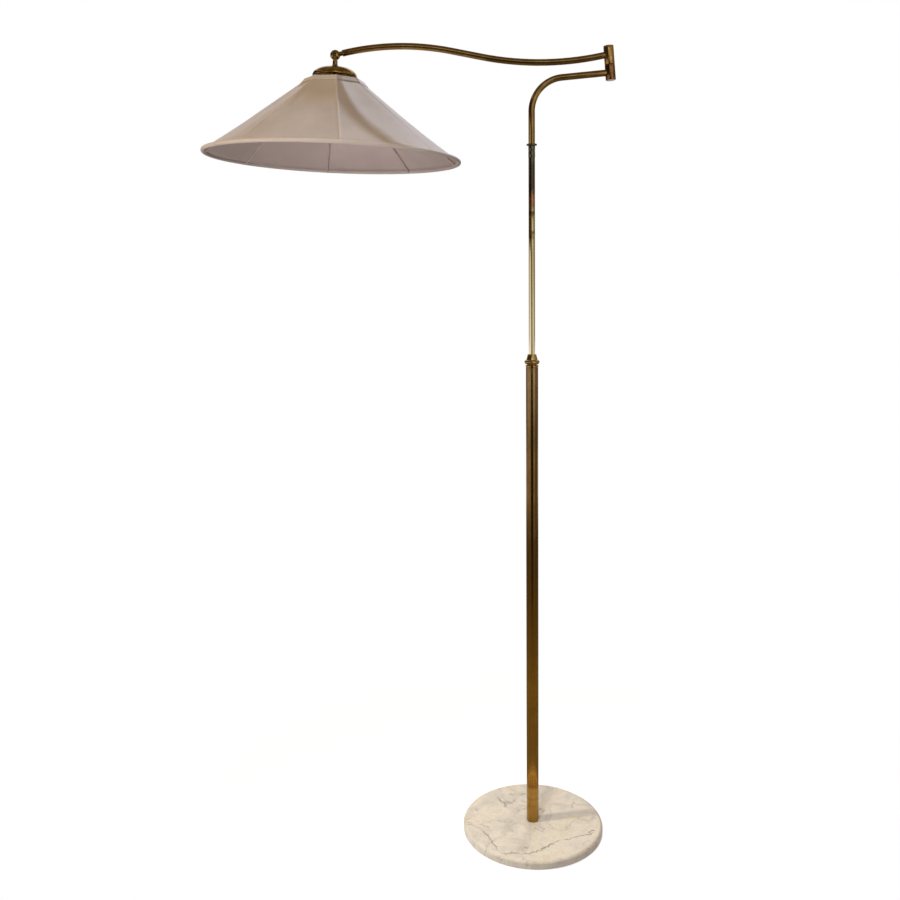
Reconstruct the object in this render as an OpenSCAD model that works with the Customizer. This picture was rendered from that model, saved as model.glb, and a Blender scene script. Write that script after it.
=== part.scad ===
// Swing arm floor lamp with a marble base, a telescopic brass stem, two arms and a cloth shade.
// The base rests on Z = 0, the stem stands on the Z axis, and both arms lie in the XZ plane.

/* [Base] */
// Diameter of the marble disc
base_d = 292; // [240:1:340]
// Thickness of the marble disc
base_t = 18; // [16:0.5:30]
// Radius of the disc's rounded top edge
base_round = 7; // [2:0.5:8]
// Bevel of the disc's lower edge
base_bevel = 1.5; // [0.5:0.5:3]
// Thickness of the felt under the disc
felt_t = 2; // [1:0.5:4]
// Step from the disc's edge to the felt's edge
felt_inset = 6; // [4:1:15]
// Diameter of the recess under the disc
recess_d = 48; // [44:1:70]
// Depth of the recess under the disc
recess_depth = 10.5; // [10:0.5:12]
// Bore of the cord inlet in the disc's back edge
inlet_d = 7; // [5:0.5:7]
// Length of the bush in the cord inlet
inlet_bush_len = 10; // [6:1:20]
// Wall of the bush in the cord inlet
inlet_wall = 1; // [0.8:0.1:1.5]
// Width of the bush's flange
inlet_lip = 1.5; // [1:0.1:1.5]
// Depth of the spot face that the flange sits in
inlet_sink = 0.8; // [0.5:0.1:1]

/* [Base fastening] */
// Outside diameter of the hollow tie rod
rod_d = 10; // [8:0.5:12]
// Bore of the tie rod
rod_bore = 6.5; // [4:0.5:7]
// Diameter of the washer under the disc
foot_washer_d = 40; // [30:1:42]
// Thickness of the washer under the disc
foot_washer_t = 2; // [1:0.5:2]
// Width across the flats of the nut under the disc
foot_nut_flats = 17; // [15:1:24]
// Height of the nut under the disc
foot_nut_h = 5; // [4:0.5:5.5]
// Length of rod below the nut
rod_out = 1; // [0:0.5:2]
// Length of the plug in the foot of the outer tube
plug_len = 30; // [20:1:50]

/* [Stem] */
// Outside diameter of the outer tube
outer_d = 25; // [23:0.5:30]
// Wall of the outer tube
outer_wall = 1.5; // [1:0.1:2]
// Length of the outer tube
outer_len = 960; // [800:5:1100]
// Outside diameter of the inner tube
inner_d = 13; // [12:0.5:15]
// Wall of the inner tube
inner_wall = 1; // [0.8:0.1:1.2]
// Length of the inner tube
inner_len = 560; // [530:5:700]
// Length of inner tube that stands out of the clamp nut
inner_out = 393; // [300:1:400]
// Length of the guide bush on the inner tube's lower end
guide_len = 20; // [10:1:40]

/* [Clamp] */
// Length of the ferrule inside the outer tube
ferrule_len = 30; // [15:1:40]
// Height of the ferrule's band on the outer tube
band_h = 5; // [3:0.5:8]
// Step from the outer tube to the ferrule's band
band_step = 0.4; // [0.2:0.1:1]
// Height of the groove between the band and the nut
groove_h = 1.5; // [1:0.1:3]
// Height of the nut's bead
bead_h = 9.5; // [8:0.5:12]
// How far the bead stands out from the outer tube
bead_out = 3; // [2:0.5:5]
// Height of the nut's bell
bell_h = 10.8; // [9:0.1:16]
// Wall of the bell at its top
bell_lip = 2; // [1:0.1:3]
// Height of the split collet
collet_h = 5; // [3:0.5:6]
// Height of the collet's uncut foot
collet_foot = 1; // [0.5:0.1:2]
// Width of the collet's slits
collet_slit = 1; // [0.5:0.1:2]
// Step from the outer tube's bore to the ferrule's thread
thread_step = 1; // [0.5:0.1:1.5]
// Room between the top of the thread and the top of the bead
thread_room = 0.5; // [0.2:0.1:1]
// Step from the thread to the wide end of the nut's cone
cone_step = 0.5; // [0.2:0.1:1]
// Step from the inner tube to the narrow end of the nut's cone
cone_lip = 1.2; // [0.8:0.1:1.6]
// Thickness of the nut above its cone
bell_roof = 3; // [2:0.1:4]
// Step from the thread to the bell's foot
bell_step = 1.6; // [1.2:0.1:3]

/* [Swivel] */
// Height of the sleeve on top of the inner tube
sleeve_h = 22; // [18:1:30]
// Step from the inner tube to the sleeve
sleeve_step = 0.3; // [0.2:0.1:1]
// Length of the sleeve's spigot inside the inner tube
sleeve_spigot = 25; // [15:1:40]
// Height of the turned line above the sleeve's foot
line_rise = 12; // [10:0.5:15]
// Width of the turned line
line_w = 1.2; // [0.6:0.1:2]
// Depth of the turned line
line_depth = 0.6; // [0.3:0.1:0.8]
// Diameter of the swivel post
post_d = 8; // [7:0.5:8.5]
// Bore of the swivel post
post_bore = 4; // [3:0.5:4.5]
// Length of the post inside the sleeve
post_len = 40; // [30:1:46]
// Length of the post inside the elbow tube
post_top = 20; // [10:1:40]
// Diameter of the ring on the post
ring_d = 21; // [17:0.5:26]
// Height of the ring on the post
ring_h = 3.5; // [3:0.5:8]
// Thickness of the washer under the ring
swivel_washer_t = 0.5; // [0.3:0.1:1]
// Height of the retaining screw above the sleeve's foot
grub_rise = 6; // [4:0.5:8]
// Depth of the retaining screw's head below the sleeve's face
grub_sink = 0.3; // [0:0.1:0.6]
// Diameter of the retaining screw
grub_d = 3; // [2.5:0.5:4]
// Diameter of the screw's dog point
grub_point_d = 1.6; // [1:0.1:2]
// Depth of the groove that the dog point runs in
grub_groove = 0.9; // [0.5:0.1:1]
// Angle of the stop left standing in that groove
stop_angle = 16; // [8:1:30]

/* [Arms] */
// Outside diameter of both arm tubes
arm_d = 13; // [12:0.5:15]
// Wall of both arm tubes
arm_wall = 1; // [0.8:0.1:1.2]
// Length of the elbow's upright part
elbow_rise = 63.5; // [40:0.5:100]
// Radius of the elbow's bend
elbow_r = 65; // [45:1:90]
// Length of the elbow from its bend to the knuckle's axis
elbow_run = 94.5; // [60:0.5:140]
// Angle at which the elbow rises to the knuckle
arm_rise = 4.5; // [0:0.5:8]
// Slope of the swing arm at both ends
arm_slope = 12; // [9:0.5:16]
// Radius of the arm's bend at the knuckle's end
arm_bend_r = 600; // [480:5:640]
// Radius of the arm's bend at the shade's end
arm_hump_r = 520; // [480:5:640]
// Length of straight tube between those bends
arm_straight = 62; // [20:1:120]

/* [Knuckle] */
// Diameter of the knuckle
knuckle_d = 20; // [19:0.5:26]
// Height of the lower barrel
lower_h = 30; // [24:1:40]
// Height of the upper barrel
upper_h = 33.7; // [30:0.1:44]
// Height at which the swing arm enters the upper barrel
arm_entry = 19.9; // [15:0.1:21]
// Height of the cap on the upper barrel
cap_h = 2.4; // [1.5:0.1:5]
// Depth of the cap's spigot
cap_spigot = 1.8; // [1:0.1:2.2]
// Diameter of the pin
pin_d = 8; // [6:0.5:8]
// Diameter of the pin's head
pin_head_d = 14; // [11:0.5:15]
// Height of the pin's head
pin_head_h = 3; // [2:0.5:5]
// Diameter of the pin's threaded end
pin_thread_d = 5; // [4:0.5:5.5]
// Width across the flats of the pin's nut
pin_nut_flats = 9; // [8:0.5:10]
// Height of the pin's nut
pin_nut_h = 2.8; // [2:0.1:3]
// Thickness of the washer under that nut
pin_washer_t = 0.8; // [0.5:0.1:1]
// Room round the pin's nut for a spanner
pin_room = 1.8; // [1:0.1:2.2]
// Thickness of the friction washer between the barrels
knuckle_washer_t = 0.4; // [0.3:0.1:1]
// Wall left round the pin where an arm tube is seated
seat_wall = 2; // [1.5:0.1:3]

/* [Ball joint] */
// Diameter of the ball
ball_d = 20.5; // [20:0.5:26]
// Distance from the swing arm's end to the ball's centre
ball_off = 15; // [14:0.5:22]
// Diameter of the neck between the arm and the ball
ball_neck_d = 9; // [6:0.5:10]
// Length of the neck inside the ball
ball_neck_in = 4; // [2:0.5:4.5]
// Length of the ball's plug inside the arm tube
ball_plug = 8; // [5:0.5:10]
// Width of the slot in the ball
slot_w = 6.6; // [6:0.1:8]
// Thickness of each friction washer in the slot
joint_washer_t = 0.5; // [0.3:0.1:0.8]
// Radius of the tongue's head
tongue_r = 5.6; // [5:0.1:6]
// Diameter of the pivot screw
pivot_d = 4; // [3:0.5:5]
// Diameter of the pivot screw's head
pivot_head_d = 7; // [6:0.5:8]
// Height of the pivot screw's head
pivot_head_h = 2.2; // [1.5:0.1:2.6]
// Depth of the pivot screw's head below the ball's side
pivot_sink = 1; // [0.5:0.1:1.5]
// Width of the screwdriver slot
driver_w = 1; // [0.6:0.1:1.2]
// Depth of the screwdriver slot
driver_depth = 1.1; // [0.6:0.1:1.3]
// Play of the tongue and its washers in the slot
slot_play = 0.2; // [0.1:0.1:0.4]
// Tilt of the head in the plane of the arms
shade_tilt = 2.5; // [-5:0.5:5]

/* [Dome] */
// Diameter of the neck under the ball
neck_d = 10; // [9.5:0.5:10]
// Distance from the ball's centre to the dome's crown
neck_len = 23.6; // [22:0.1:30]
// Diameter of the neck's flared foot
neck_foot_d = 15; // [12:0.5:20]
// Height of the flare at the neck's foot
neck_flare = 6.5; // [3:0.5:8]
// Diameter of the dome
dome_d = 89; // [80:1:100]
// Height from the dome's widest line to its crown
dome_h = 17.5; // [12:0.5:22]
// Radius of the dome's rolled edge
dome_roll = 2.5; // [2:0.5:4]
// Thickness of the dome
dome_t = 1; // [0.6:0.1:1.2]
// Diameter of the washer under the dome
dome_washer_d = 14; // [12:0.5:20]
// Thickness of the washer under the dome
dome_washer_t = 1; // [0.5:0.1:2]

/* [Shade] */
// Distance from the dome's edge down to the cloth
shade_gap = 8.5; // [6:0.1:12]
// Height from the rim's ring up to the top of the cloth
shade_h = 150.3; // [140:0.1:190]
// Radius of the top of the cloth at its corners
shade_top_r = 56; // [50:0.5:62]
// Outside radius of the rim
shade_rim_r = 258; // [220:1:300]
// Number of panels
panels = 8; // [5:1:9]
// Turn of the seams about the head's axis
seam_turn = 13; // [0:1:60]
// Thickness of the cloth
cloth_t = 1; // [0.6:0.1:1.5]
// How far a panel is drawn in at its middle
panel_sag = 7; // [0:0.5:8]
// Width of the tape round the top
trim_w = 14; // [8:1:25]
// Thickness of the tape at its lower edge
trim_t = 0.8; // [0.5:0.1:1.2]
// Thickness of the tape at its upper edge, where it is folded over the cloth's raw end
trim_fold_t = 3.5; // [1.5:0.1:4.5]
// Diameter of the piping round the rim
piping_d = 8; // [7:0.5:10]
// Diameter of the frame's wires
wire_d = 3.6; // [3:0.1:4]
// Thickness of the spider's hub
spider_t = 2; // [1:0.5:4]
// Diameter of the spider's hub
spider_d = 28; // [22:1:36]
// Length of each spoke on the hub's rim
spoke_land = 2; // [1:0.5:3]
// Diameter of the spider's spokes
spoke_d = 2.6; // [2.2:0.1:3]
// Swelling of the welded corners of the top ring
weld = 0.2; // [0.1:0.1:0.3]

/* [Lampholder] */
// Diameter of the hollow nipple
nipple_d = 8; // [7:0.5:8]
// Bore of the nipple
nipple_bore = 5; // [3:0.5:5.5]
// Length of the nipple inside the neck
nipple_in = 7; // [4:0.5:8]
// Width across the flats of the nipple's nuts
nipple_nut_flats = 13; // [12:0.5:16]
// Height of the nipple's nuts
nipple_nut_h = 4; // [3:0.5:5]
// Diameter of the holder's collar
collar_d = 14; // [12:0.5:18]
// Height of the holder's collar
collar_h = 5; // [4:0.5:12]
// Diameter of the holder's cap
holder_d = 36; // [34.5:0.5:44]
// Height of the holder's cap
holder_cap_h = 18; // [16:0.5:24]
// Wall of the holder's cap and shell
holder_wall = 1; // [0.8:0.1:1.2]
// Length of shell inside the cap
shell_in = 6; // [4:0.5:7]
// Length of shell below the cap
shell_out = 26; // [22:0.5:30]
// Diameter of the wire holes in the porcelain insert
insert_hole_d = 4; // [3:0.5:5]
// Thickness of the porcelain insert
insert_t = 12; // [9:0.5:14]
// Inside diameter of the screw shell
screw_shell_d = 26.2; // [26:0.1:27]
// Wall of the screw shell
screw_shell_wall = 0.6; // [0.4:0.1:1]
// Length of the bulb's cap below the screw shell
screw_shell_short = 2; // [1:0.5:4]
// Diameter of the centre contact
contact_d = 8; // [6:0.5:10]
// Thickness of the centre contact
contact_t = 1.5; // [1:0.1:2]
// Diameter of the switch key's spindle
key_d = 4; // [3:0.5:5]
// Distance from the cap's roof to the spindle
key_drop = 2.5; // [1:0.5:4]
// Length of the spindle inside the cap
key_in = 8; // [4:0.5:12]
// Distance from the holder's axis to the key's paddle
key_out = 26; // [23:0.5:32]
// Width of the key's paddle
key_w = 14; // [10:0.5:18]
// Thickness of the key's paddle
key_t = 3; // [2:0.5:4]
// Length of the key's paddle
key_len = 9; // [7:0.5:14]

/* [Bulb] */
// Length of the bulb's screw cap
bulb_cap_h = 25; // [24:0.5:28]
// Wall of the bulb's screw cap
bulb_cap_wall = 0.5; // [0.3:0.1:0.8]
// Thickness of the bulb's screw cap at its contact
bulb_cap_roof = 2; // [1:0.5:4]
// Length of the bulb's neck inside its screw cap
bulb_neck_in = 8; // [4:0.5:12]
// Diameter of the bulb's globe
bulb_d = 45; // [40:1:60]
// Distance from the screw cap to the globe's centre
bulb_off = 20.5; // [18:0.5:30]
// Thickness of the bulb's glass
bulb_glass_t = 0.8; // [0.5:0.1:1.2]

/* [Hidden] */
$fn = 96;
// Radial clearance of running fits
run = 0.06;
// Radial clearance of pressed and soldered seats
seat = 0.04;
// Free air between pieces that pass each other
air = 0.35;
// Extra length that makes a cut run past a face
past = 1;

// Heights up the stem
base_top = felt_t + base_t;
recess_top = felt_t + recess_depth;
inlet_z = felt_t + inlet_d / 2 + inlet_lip + 2 * air;
outer_top = base_top + outer_len;
outer_bore = outer_d / 2 - outer_wall;
nut_z = outer_top + band_h + groove_h;
nut_top = nut_z + bead_h + bell_h;
thread_r = outer_bore - thread_step;
thread_top = nut_z + bead_h - thread_room;
inner_top = nut_top + inner_out;
inner_z = inner_top - inner_len;
inner_bore = inner_d / 2 - inner_wall;
grub_z = inner_top + grub_rise;
sleeve_r = inner_d / 2 + sleeve_step;
ring_z = inner_top + sleeve_h + swivel_washer_t;

// The elbow and the knuckle at its end
elbow_z = ring_z + ring_h;
bend_z = elbow_z + elbow_rise;
bend_a = 90 - arm_rise;
knuckle_x = elbow_r * (1 - cos(bend_a)) + elbow_run * sin(bend_a);
knuckle_z = bend_z + elbow_r * sin(bend_a) + elbow_run * cos(bend_a);
upper_z = lower_h / 2 + knuckle_washer_t;
upper_top = upper_z + upper_h;
seat_r = pin_d / 2 + seat_wall;
pin_floor = upper_top - cap_spigot - 2 * air - pin_nut_h - pin_washer_t;
pin_well_r = pin_nut_flats / 2 / cos(30) + pin_room;

// The swing arm from the knuckle's axis to the ball
arm_h = upper_z + arm_entry;
arm_x = knuckle_x - arm_h * sin(arm_rise);
arm_z = knuckle_z + arm_h * cos(arm_rise);
tip_x = arm_x - 2 * (arm_bend_r + arm_hump_r) * sin(arm_slope) - arm_straight * cos(arm_slope);
tip_z = arm_z + arm_straight * sin(arm_slope);
ball_x = tip_x - ball_off * cos(arm_slope);
ball_z = tip_z - ball_off * sin(arm_slope);
ball_r = ball_d / 2;
slot_top = tongue_r + air;
tongue_t = slot_w - 2 * joint_washer_t - slot_play;
pivot_x = ball_r - pivot_head_h - pivot_sink;

// Heights down the head, from the ball's centre
crown_z = -neck_len;
dome_edge_z = crown_z - dome_h;
dome_flat_r = max(neck_foot_d, dome_washer_d) / 2 + air;
dome_nut_z = crown_z - dome_t - dome_washer_t - nipple_nut_h;
shade_top_z = dome_edge_z - dome_roll - shade_gap;
rim_z = shade_top_z - shade_h;
rim_ring_r = shade_rim_r - piping_d / 2;
shade_slope = atan2(shade_h, rim_ring_r - shade_top_r);
shade_slant = norm([shade_h, rim_ring_r - shade_top_r]);
panel_a = 360 / panels;
ring_corner_r = wire_d / 2 / cos(panel_a / 2) + weld;
wire_off = cloth_t + air + wire_d / 2 + weld;
top_ring_r = shade_top_r - wire_off * sin(shade_slope);
top_ring_z = shade_top_z - wire_off * cos(shade_slope);
rib_end_r = rim_ring_r - wire_off * sin(shade_slope);
rib_end_z = rim_z - wire_off * cos(shade_slope);
spider_z = top_ring_z - spider_t / 2;
holder_z = spider_z - collar_h;
cap_foot_z = holder_z - holder_cap_h;
shell_foot_z = cap_foot_z - shell_out;
shell_r = holder_d / 2 - holder_wall - seat;
insert_r = shell_r - holder_wall - seat;
insert_z = cap_foot_z + shell_in;
insert_foot_z = insert_z - insert_t;
key_z = holder_z - holder_wall - key_drop - key_d / 2;
bulb_top_z = insert_foot_z - contact_t;
bulb_foot_z = bulb_top_z - bulb_cap_h;
bulb_r = screw_shell_d / 2 - seat;
globe_z = bulb_foot_z - bulb_off;

// Strips across a panel of the cloth, and rings down it
strips = 10;
cloth_rings = 6;

// A round tube from z to z + h
module tube(r, bore, z, h) {
    difference() {
        translate([0, 0, z]) cylinder(r = r, h = h);
        translate([0, 0, z - past]) cylinder(r = bore, h = h + 2 * past);
    }
}

// A hexagon of the given width across its flats
module hex(flats, z, h) {
    translate([0, 0, z]) cylinder(d = flats / cos(30), h = h, $fn = 6);
}

// A straight wire between two points
module wire(from, to, d) {
    run_v = to - from;
    translate(from)
        rotate([0, acos(run_v[2] / norm(run_v)), atan2(run_v[1], run_v[0])])
            cylinder(d = d, h = norm(run_v));
}

// The cross-section of an arm tube, or of a solid rod when the wall is 0
module arm_section(d, wall) {
    difference() {
        circle(d = d);
        if (wall > 0) circle(d = d - 2 * wall);
    }
}

// A bend that starts at the origin along +Z and turns towards +X
module bend(r, a, d, wall) {
    translate([r, 0, 0]) rotate([90, 0, 180])
        rotate_extrude(angle = a) translate([r, 0]) arm_section(d, wall);
}

// The place where such a bend ends
module after_bend(r, a) {
    translate([r * (1 - cos(a)), 0, r * sin(a)]) rotate([0, a, 0]) children();
}

module elbow_path(d, wall) {
    translate([0, 0, elbow_z]) linear_extrude(elbow_rise) arm_section(d, wall);
    translate([0, 0, bend_z]) {
        bend(elbow_r, bend_a, d, wall);
        after_bend(elbow_r, bend_a) linear_extrude(elbow_run) arm_section(d, wall);
    }
}

module swing_path(d, wall) {
    translate([arm_x, 0, arm_z]) rotate([0, -90 - arm_slope, 0])
        after_bend(arm_bend_r, 2 * arm_slope) {
            mirror([0, 0, 1]) bend(arm_bend_r, 2 * arm_slope, d, wall);
            linear_extrude(arm_straight) arm_section(d, wall);
            translate([0, 0, arm_straight]) mirror([1, 0, 0])
                bend(arm_hump_r, 2 * arm_slope, d, wall);
        }
}

// The frame of the knuckle: its axis is Z and the elbow comes in along X
module at_knuckle() {
    translate([knuckle_x, 0, knuckle_z]) rotate([0, -arm_rise, 0]) children();
}

// The frame of the swing arm's end, with Z along the tube
module at_tip() {
    translate([tip_x, 0, tip_z]) rotate([0, -90 - arm_slope, 0]) children();
}

// The frame of the head: the ball's centre, with the pivot along X
module at_head() {
    translate([ball_x, 0, ball_z]) rotate([0, shade_tilt, 0]) children();
}

// The frame of the pivot screw, with Z along the pivot
module at_pivot() {
    at_head() rotate([0, 90, 0]) children();
}

// The core of the knuckle that the arm tubes are cut back to
module knuckle_core() {
    at_knuckle() translate([0, 0, -2 * lower_h]) cylinder(r = seat_r, h = 4 * lower_h);
}

// Base and stem

module felt_pad() {
    color("darkolivegreen") cylinder(d = base_d - 2 * felt_inset, h = felt_t);
}

module marble_base() {
    r = base_d / 2;
    color("gainsboro") difference() {
        union() {
            translate([0, 0, felt_t]) cylinder(r1 = r - base_bevel, r2 = r, h = base_bevel);
            translate([0, 0, felt_t + base_bevel]) cylinder(r = r, h = base_t - base_bevel - base_round);
            translate([0, 0, felt_t]) cylinder(r = r - base_round, h = base_t);
            translate([0, 0, base_top - base_round]) rotate_extrude()
                translate([r - base_round, 0]) circle(r = base_round);
        }
        cylinder(d = recess_d, h = recess_top);
        cylinder(r = rod_d / 2 + seat, h = base_top + past);
        translate([0, 0, inlet_z]) rotate([-90, 0, 0]) cylinder(r = inlet_d / 2 + seat, h = base_d);
        translate([0, r - inlet_sink, inlet_z]) rotate([-90, 0, 0])
            cylinder(r = inlet_d / 2 + inlet_lip + seat, h = base_d);
    }
}

module inlet_bush() {
    seat_y = base_d / 2 - inlet_sink;
    color("black") translate([0, seat_y, inlet_z]) rotate([-90, 0, 0]) difference() {
        union() {
            translate([0, 0, -inlet_bush_len]) cylinder(d = inlet_d, h = inlet_bush_len + inlet_lip);
            cylinder(r = inlet_d / 2 + inlet_lip, h = inlet_lip);
        }
        translate([0, 0, -inlet_bush_len - past])
            cylinder(d = inlet_d - 2 * inlet_wall, h = inlet_bush_len + inlet_lip + 2 * past);
    }
}

module foot_washer() {
    color("silver") tube(foot_washer_d / 2, rod_d / 2 + seat, recess_top - foot_washer_t, foot_washer_t);
}

module foot_nut() {
    nut_foot = recess_top - foot_washer_t - foot_nut_h;
    color("silver") difference() {
        hex(foot_nut_flats, nut_foot, foot_nut_h);
        translate([0, 0, nut_foot - past]) cylinder(r = rod_d / 2 + seat, h = foot_nut_h + 2 * past);
    }
}

module tie_rod() {
    rod_z = recess_top - foot_washer_t - foot_nut_h - rod_out;
    color("gray") tube(rod_d / 2, rod_bore / 2, rod_z, base_top + plug_len - rod_z);
}

module foot_plug() {
    color("goldenrod") tube(outer_bore - seat, rod_d / 2 + seat, base_top, plug_len);
}

module outer_tube() {
    color("goldenrod") tube(outer_d / 2, outer_bore, base_top, outer_len);
}

// Clamp that holds the inner tube

module clamp_ferrule() {
    color("gold") difference() {
        union() {
            translate([0, 0, outer_top - ferrule_len]) cylinder(r = outer_bore - seat, h = ferrule_len);
            translate([0, 0, outer_top]) cylinder(r = outer_d / 2 + band_step, h = band_h);
            translate([0, 0, outer_top]) cylinder(r = thread_r, h = thread_top - outer_top);
        }
        translate([0, 0, outer_top - ferrule_len - past])
            cylinder(r = inner_d / 2 + run, h = thread_top - outer_top + ferrule_len + 2 * past);
    }
}

// The nut's conical mouth, and the collet's cone when it is drawn in by a gap
module clamp_cone(gap) {
    foot_r = thread_r - cone_step - gap;
    top_r = inner_d / 2 + cone_lip - gap;
    translate([0, 0, thread_top]) cylinder(r1 = foot_r, r2 = top_r, h = bell_h + thread_room - bell_roof);
}

module clamp_collet() {
    color("peru") difference() {
        intersection() {
            clamp_cone(air);
            translate([0, 0, thread_top]) cylinder(r = thread_r, h = collet_h);
        }
        cylinder(r = inner_d / 2 + run, h = nut_top);
        for (a = [0, 90])
            rotate([0, 0, a])
                translate([-outer_d, -collet_slit / 2, thread_top + collet_foot])
                    cube([2 * outer_d, collet_slit, collet_h]);
    }
}

module clamp_nut() {
    bead_r = outer_d / 2 + bead_out - bead_h / 2;
    color("orange") difference() {
        union() {
            translate([0, 0, nut_z + bead_h / 2]) rotate_extrude()
                translate([bead_r, 0]) circle(r = bead_h / 2);
            translate([0, 0, nut_z]) cylinder(r = bead_r, h = bead_h);
            translate([0, 0, nut_z + bead_h])
                cylinder(r1 = thread_r + bell_step, r2 = inner_d / 2 + air + bell_lip, h = bell_h);
        }
        translate([0, 0, nut_z - past]) cylinder(r = thread_r + run, h = thread_top - nut_z + past);
        clamp_cone(0);
        translate([0, 0, nut_z]) cylinder(r = inner_d / 2 + air, h = bead_h + bell_h + past);
    }
}

// Inner tube and swivel

module inner_tube() {
    color("khaki") tube(inner_d / 2, inner_bore, inner_z, inner_len);
}

module guide_bush() {
    color("peru") tube(outer_bore - run, inner_d / 2 + seat, inner_z, guide_len);
}

module top_sleeve() {
    color("gold") difference() {
        union() {
            translate([0, 0, inner_top - sleeve_spigot]) cylinder(r = inner_bore - seat, h = sleeve_spigot);
            translate([0, 0, inner_top]) cylinder(r = sleeve_r, h = sleeve_h);
        }
        translate([0, 0, inner_top - sleeve_spigot - past])
            cylinder(r = post_d / 2 + run, h = sleeve_spigot + sleeve_h + 2 * past);
        tube(sleeve_r + past, sleeve_r - line_depth, inner_top + line_rise - line_w / 2, line_w);
        translate([0, 0, grub_z]) rotate([-90, 0, 0]) cylinder(r = grub_d / 2 + seat, h = inner_d);
    }
}

module grub_screw() {
    shank_y = post_d / 2 + run + air;
    point_y = post_d / 2 - grub_groove + air;
    color("dimgray") translate([0, 0, grub_z]) rotate([-90, 0, 0]) {
        translate([0, 0, shank_y]) cylinder(d = grub_d, h = sleeve_r - shank_y - grub_sink);
        translate([0, 0, point_y]) cylinder(d = grub_point_d, h = shank_y - point_y);
    }
}

module swivel_washer() {
    color("brown") tube(sleeve_r, post_d / 2 + seat, inner_top + sleeve_h, swivel_washer_t);
}

module swivel_post() {
    groove_h = grub_point_d + 2 * air;
    color("gold") difference() {
        union() {
            translate([0, 0, ring_z - post_len]) cylinder(d = post_d, h = post_len);
            translate([0, 0, ring_z]) cylinder(d = ring_d, h = ring_h);
            translate([0, 0, elbow_z]) cylinder(r = arm_d / 2 - arm_wall - seat, h = post_top);
        }
        translate([0, 0, ring_z - post_len - past])
            cylinder(d = post_bore, h = post_len + ring_h + post_top + 2 * past);
        translate([0, 0, grub_z - groove_h / 2]) rotate([0, 0, stop_angle / 2 - 90])
            rotate_extrude(angle = 360 - stop_angle)
                translate([post_d / 2 - grub_groove, 0]) square([grub_groove + past, groove_h]);
    }
}

// Elbow and knuckle

module elbow_tube() {
    color("goldenrod") difference() {
        elbow_path(arm_d, arm_wall);
        knuckle_core();
    }
}

module lower_knuckle() {
    color("gold") difference() {
        at_knuckle() translate([0, 0, -lower_h / 2]) cylinder(d = knuckle_d, h = lower_h);
        difference() {
            elbow_path(arm_d + 2 * seat, 0);
            knuckle_core();
        }
        at_knuckle() translate([0, 0, -lower_h]) {
            cylinder(r = pin_d / 2 + seat, h = 2 * lower_h);
            cylinder(r = pin_head_d / 2 + seat, h = lower_h / 2 + pin_head_h);
        }
    }
}

module knuckle_washer() {
    color("brown") at_knuckle() tube(knuckle_d / 2 - air, pin_d / 2 + seat, lower_h / 2, knuckle_washer_t);
}

module knuckle_pin() {
    shank_z = pin_head_h - lower_h / 2;
    thread_top_z = pin_floor + pin_washer_t + pin_nut_h;
    color("silver") at_knuckle() {
        translate([0, 0, -lower_h / 2]) cylinder(d = pin_head_d, h = pin_head_h);
        translate([0, 0, shank_z]) cylinder(d = pin_d, h = pin_floor - shank_z);
        translate([0, 0, pin_floor]) cylinder(d = pin_thread_d, h = thread_top_z - pin_floor);
    }
}

module pin_washer() {
    color("silver") at_knuckle()
        tube(pin_well_r - air, pin_thread_d / 2 + seat, pin_floor, pin_washer_t);
}

module pin_nut() {
    nut_foot = pin_floor + pin_washer_t;
    color("gray") at_knuckle() difference() {
        hex(pin_nut_flats, nut_foot, pin_nut_h);
        translate([0, 0, nut_foot - past]) cylinder(r = pin_thread_d / 2 + seat, h = pin_nut_h + 2 * past);
    }
}

module upper_knuckle() {
    color("orange") difference() {
        at_knuckle() translate([0, 0, upper_z]) cylinder(d = knuckle_d, h = upper_h);
        difference() {
            swing_path(arm_d + 2 * seat, 0);
            knuckle_core();
        }
        at_knuckle() {
            translate([0, 0, upper_z - past]) cylinder(r = pin_d / 2 + run, h = upper_h);
            translate([0, 0, pin_floor]) cylinder(r = pin_well_r, h = upper_h);
        }
    }
}

module knuckle_cap() {
    color("gold") at_knuckle() {
        translate([0, 0, upper_top]) cylinder(d = knuckle_d, h = cap_h);
        translate([0, 0, upper_top - cap_spigot]) cylinder(r = pin_well_r - seat, h = cap_spigot);
    }
}

// Swing arm and ball joint

module swing_arm() {
    color("goldenrod") difference() {
        swing_path(arm_d, arm_wall);
        knuckle_core();
    }
}

module joint_ball() {
    plug_r = arm_d / 2 - arm_wall - air / 2;
    neck_r = ball_neck_d / 2;
    neck_h = ball_off - ball_r + ball_neck_in;
    color("orange") difference() {
        union() {
            at_head() sphere(r = ball_r);
            at_tip() rotate_extrude() polygon([
                [0, -ball_plug], [plug_r, -ball_plug], [plug_r, 0],
                [neck_r, 0], [neck_r, neck_h], [0, neck_h]
            ]);
        }
        at_head() translate([-slot_w / 2, -ball_d, -ball_d]) cube([slot_w, 2 * ball_d, ball_d + slot_top]);
        at_pivot() translate([0, 0, -pivot_x - past])
            cylinder(r = pivot_d / 2 + seat, h = 2 * pivot_x + past);
        at_pivot() translate([0, 0, -pivot_x - ball_d]) cylinder(r = pivot_head_d / 2 + seat, h = ball_d);
    }
}

module pivot_screw() {
    color("silver") at_pivot() difference() {
        union() {
            translate([0, 0, -pivot_x]) cylinder(d = pivot_d, h = 2 * pivot_x);
            translate([0, 0, -pivot_x - pivot_head_h]) cylinder(d = pivot_head_d, h = pivot_head_h);
        }
        translate([-pivot_head_d, -driver_w / 2, -pivot_x - pivot_head_h - past])
            cube([2 * pivot_head_d, driver_w, past + driver_depth]);
    }
}

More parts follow.
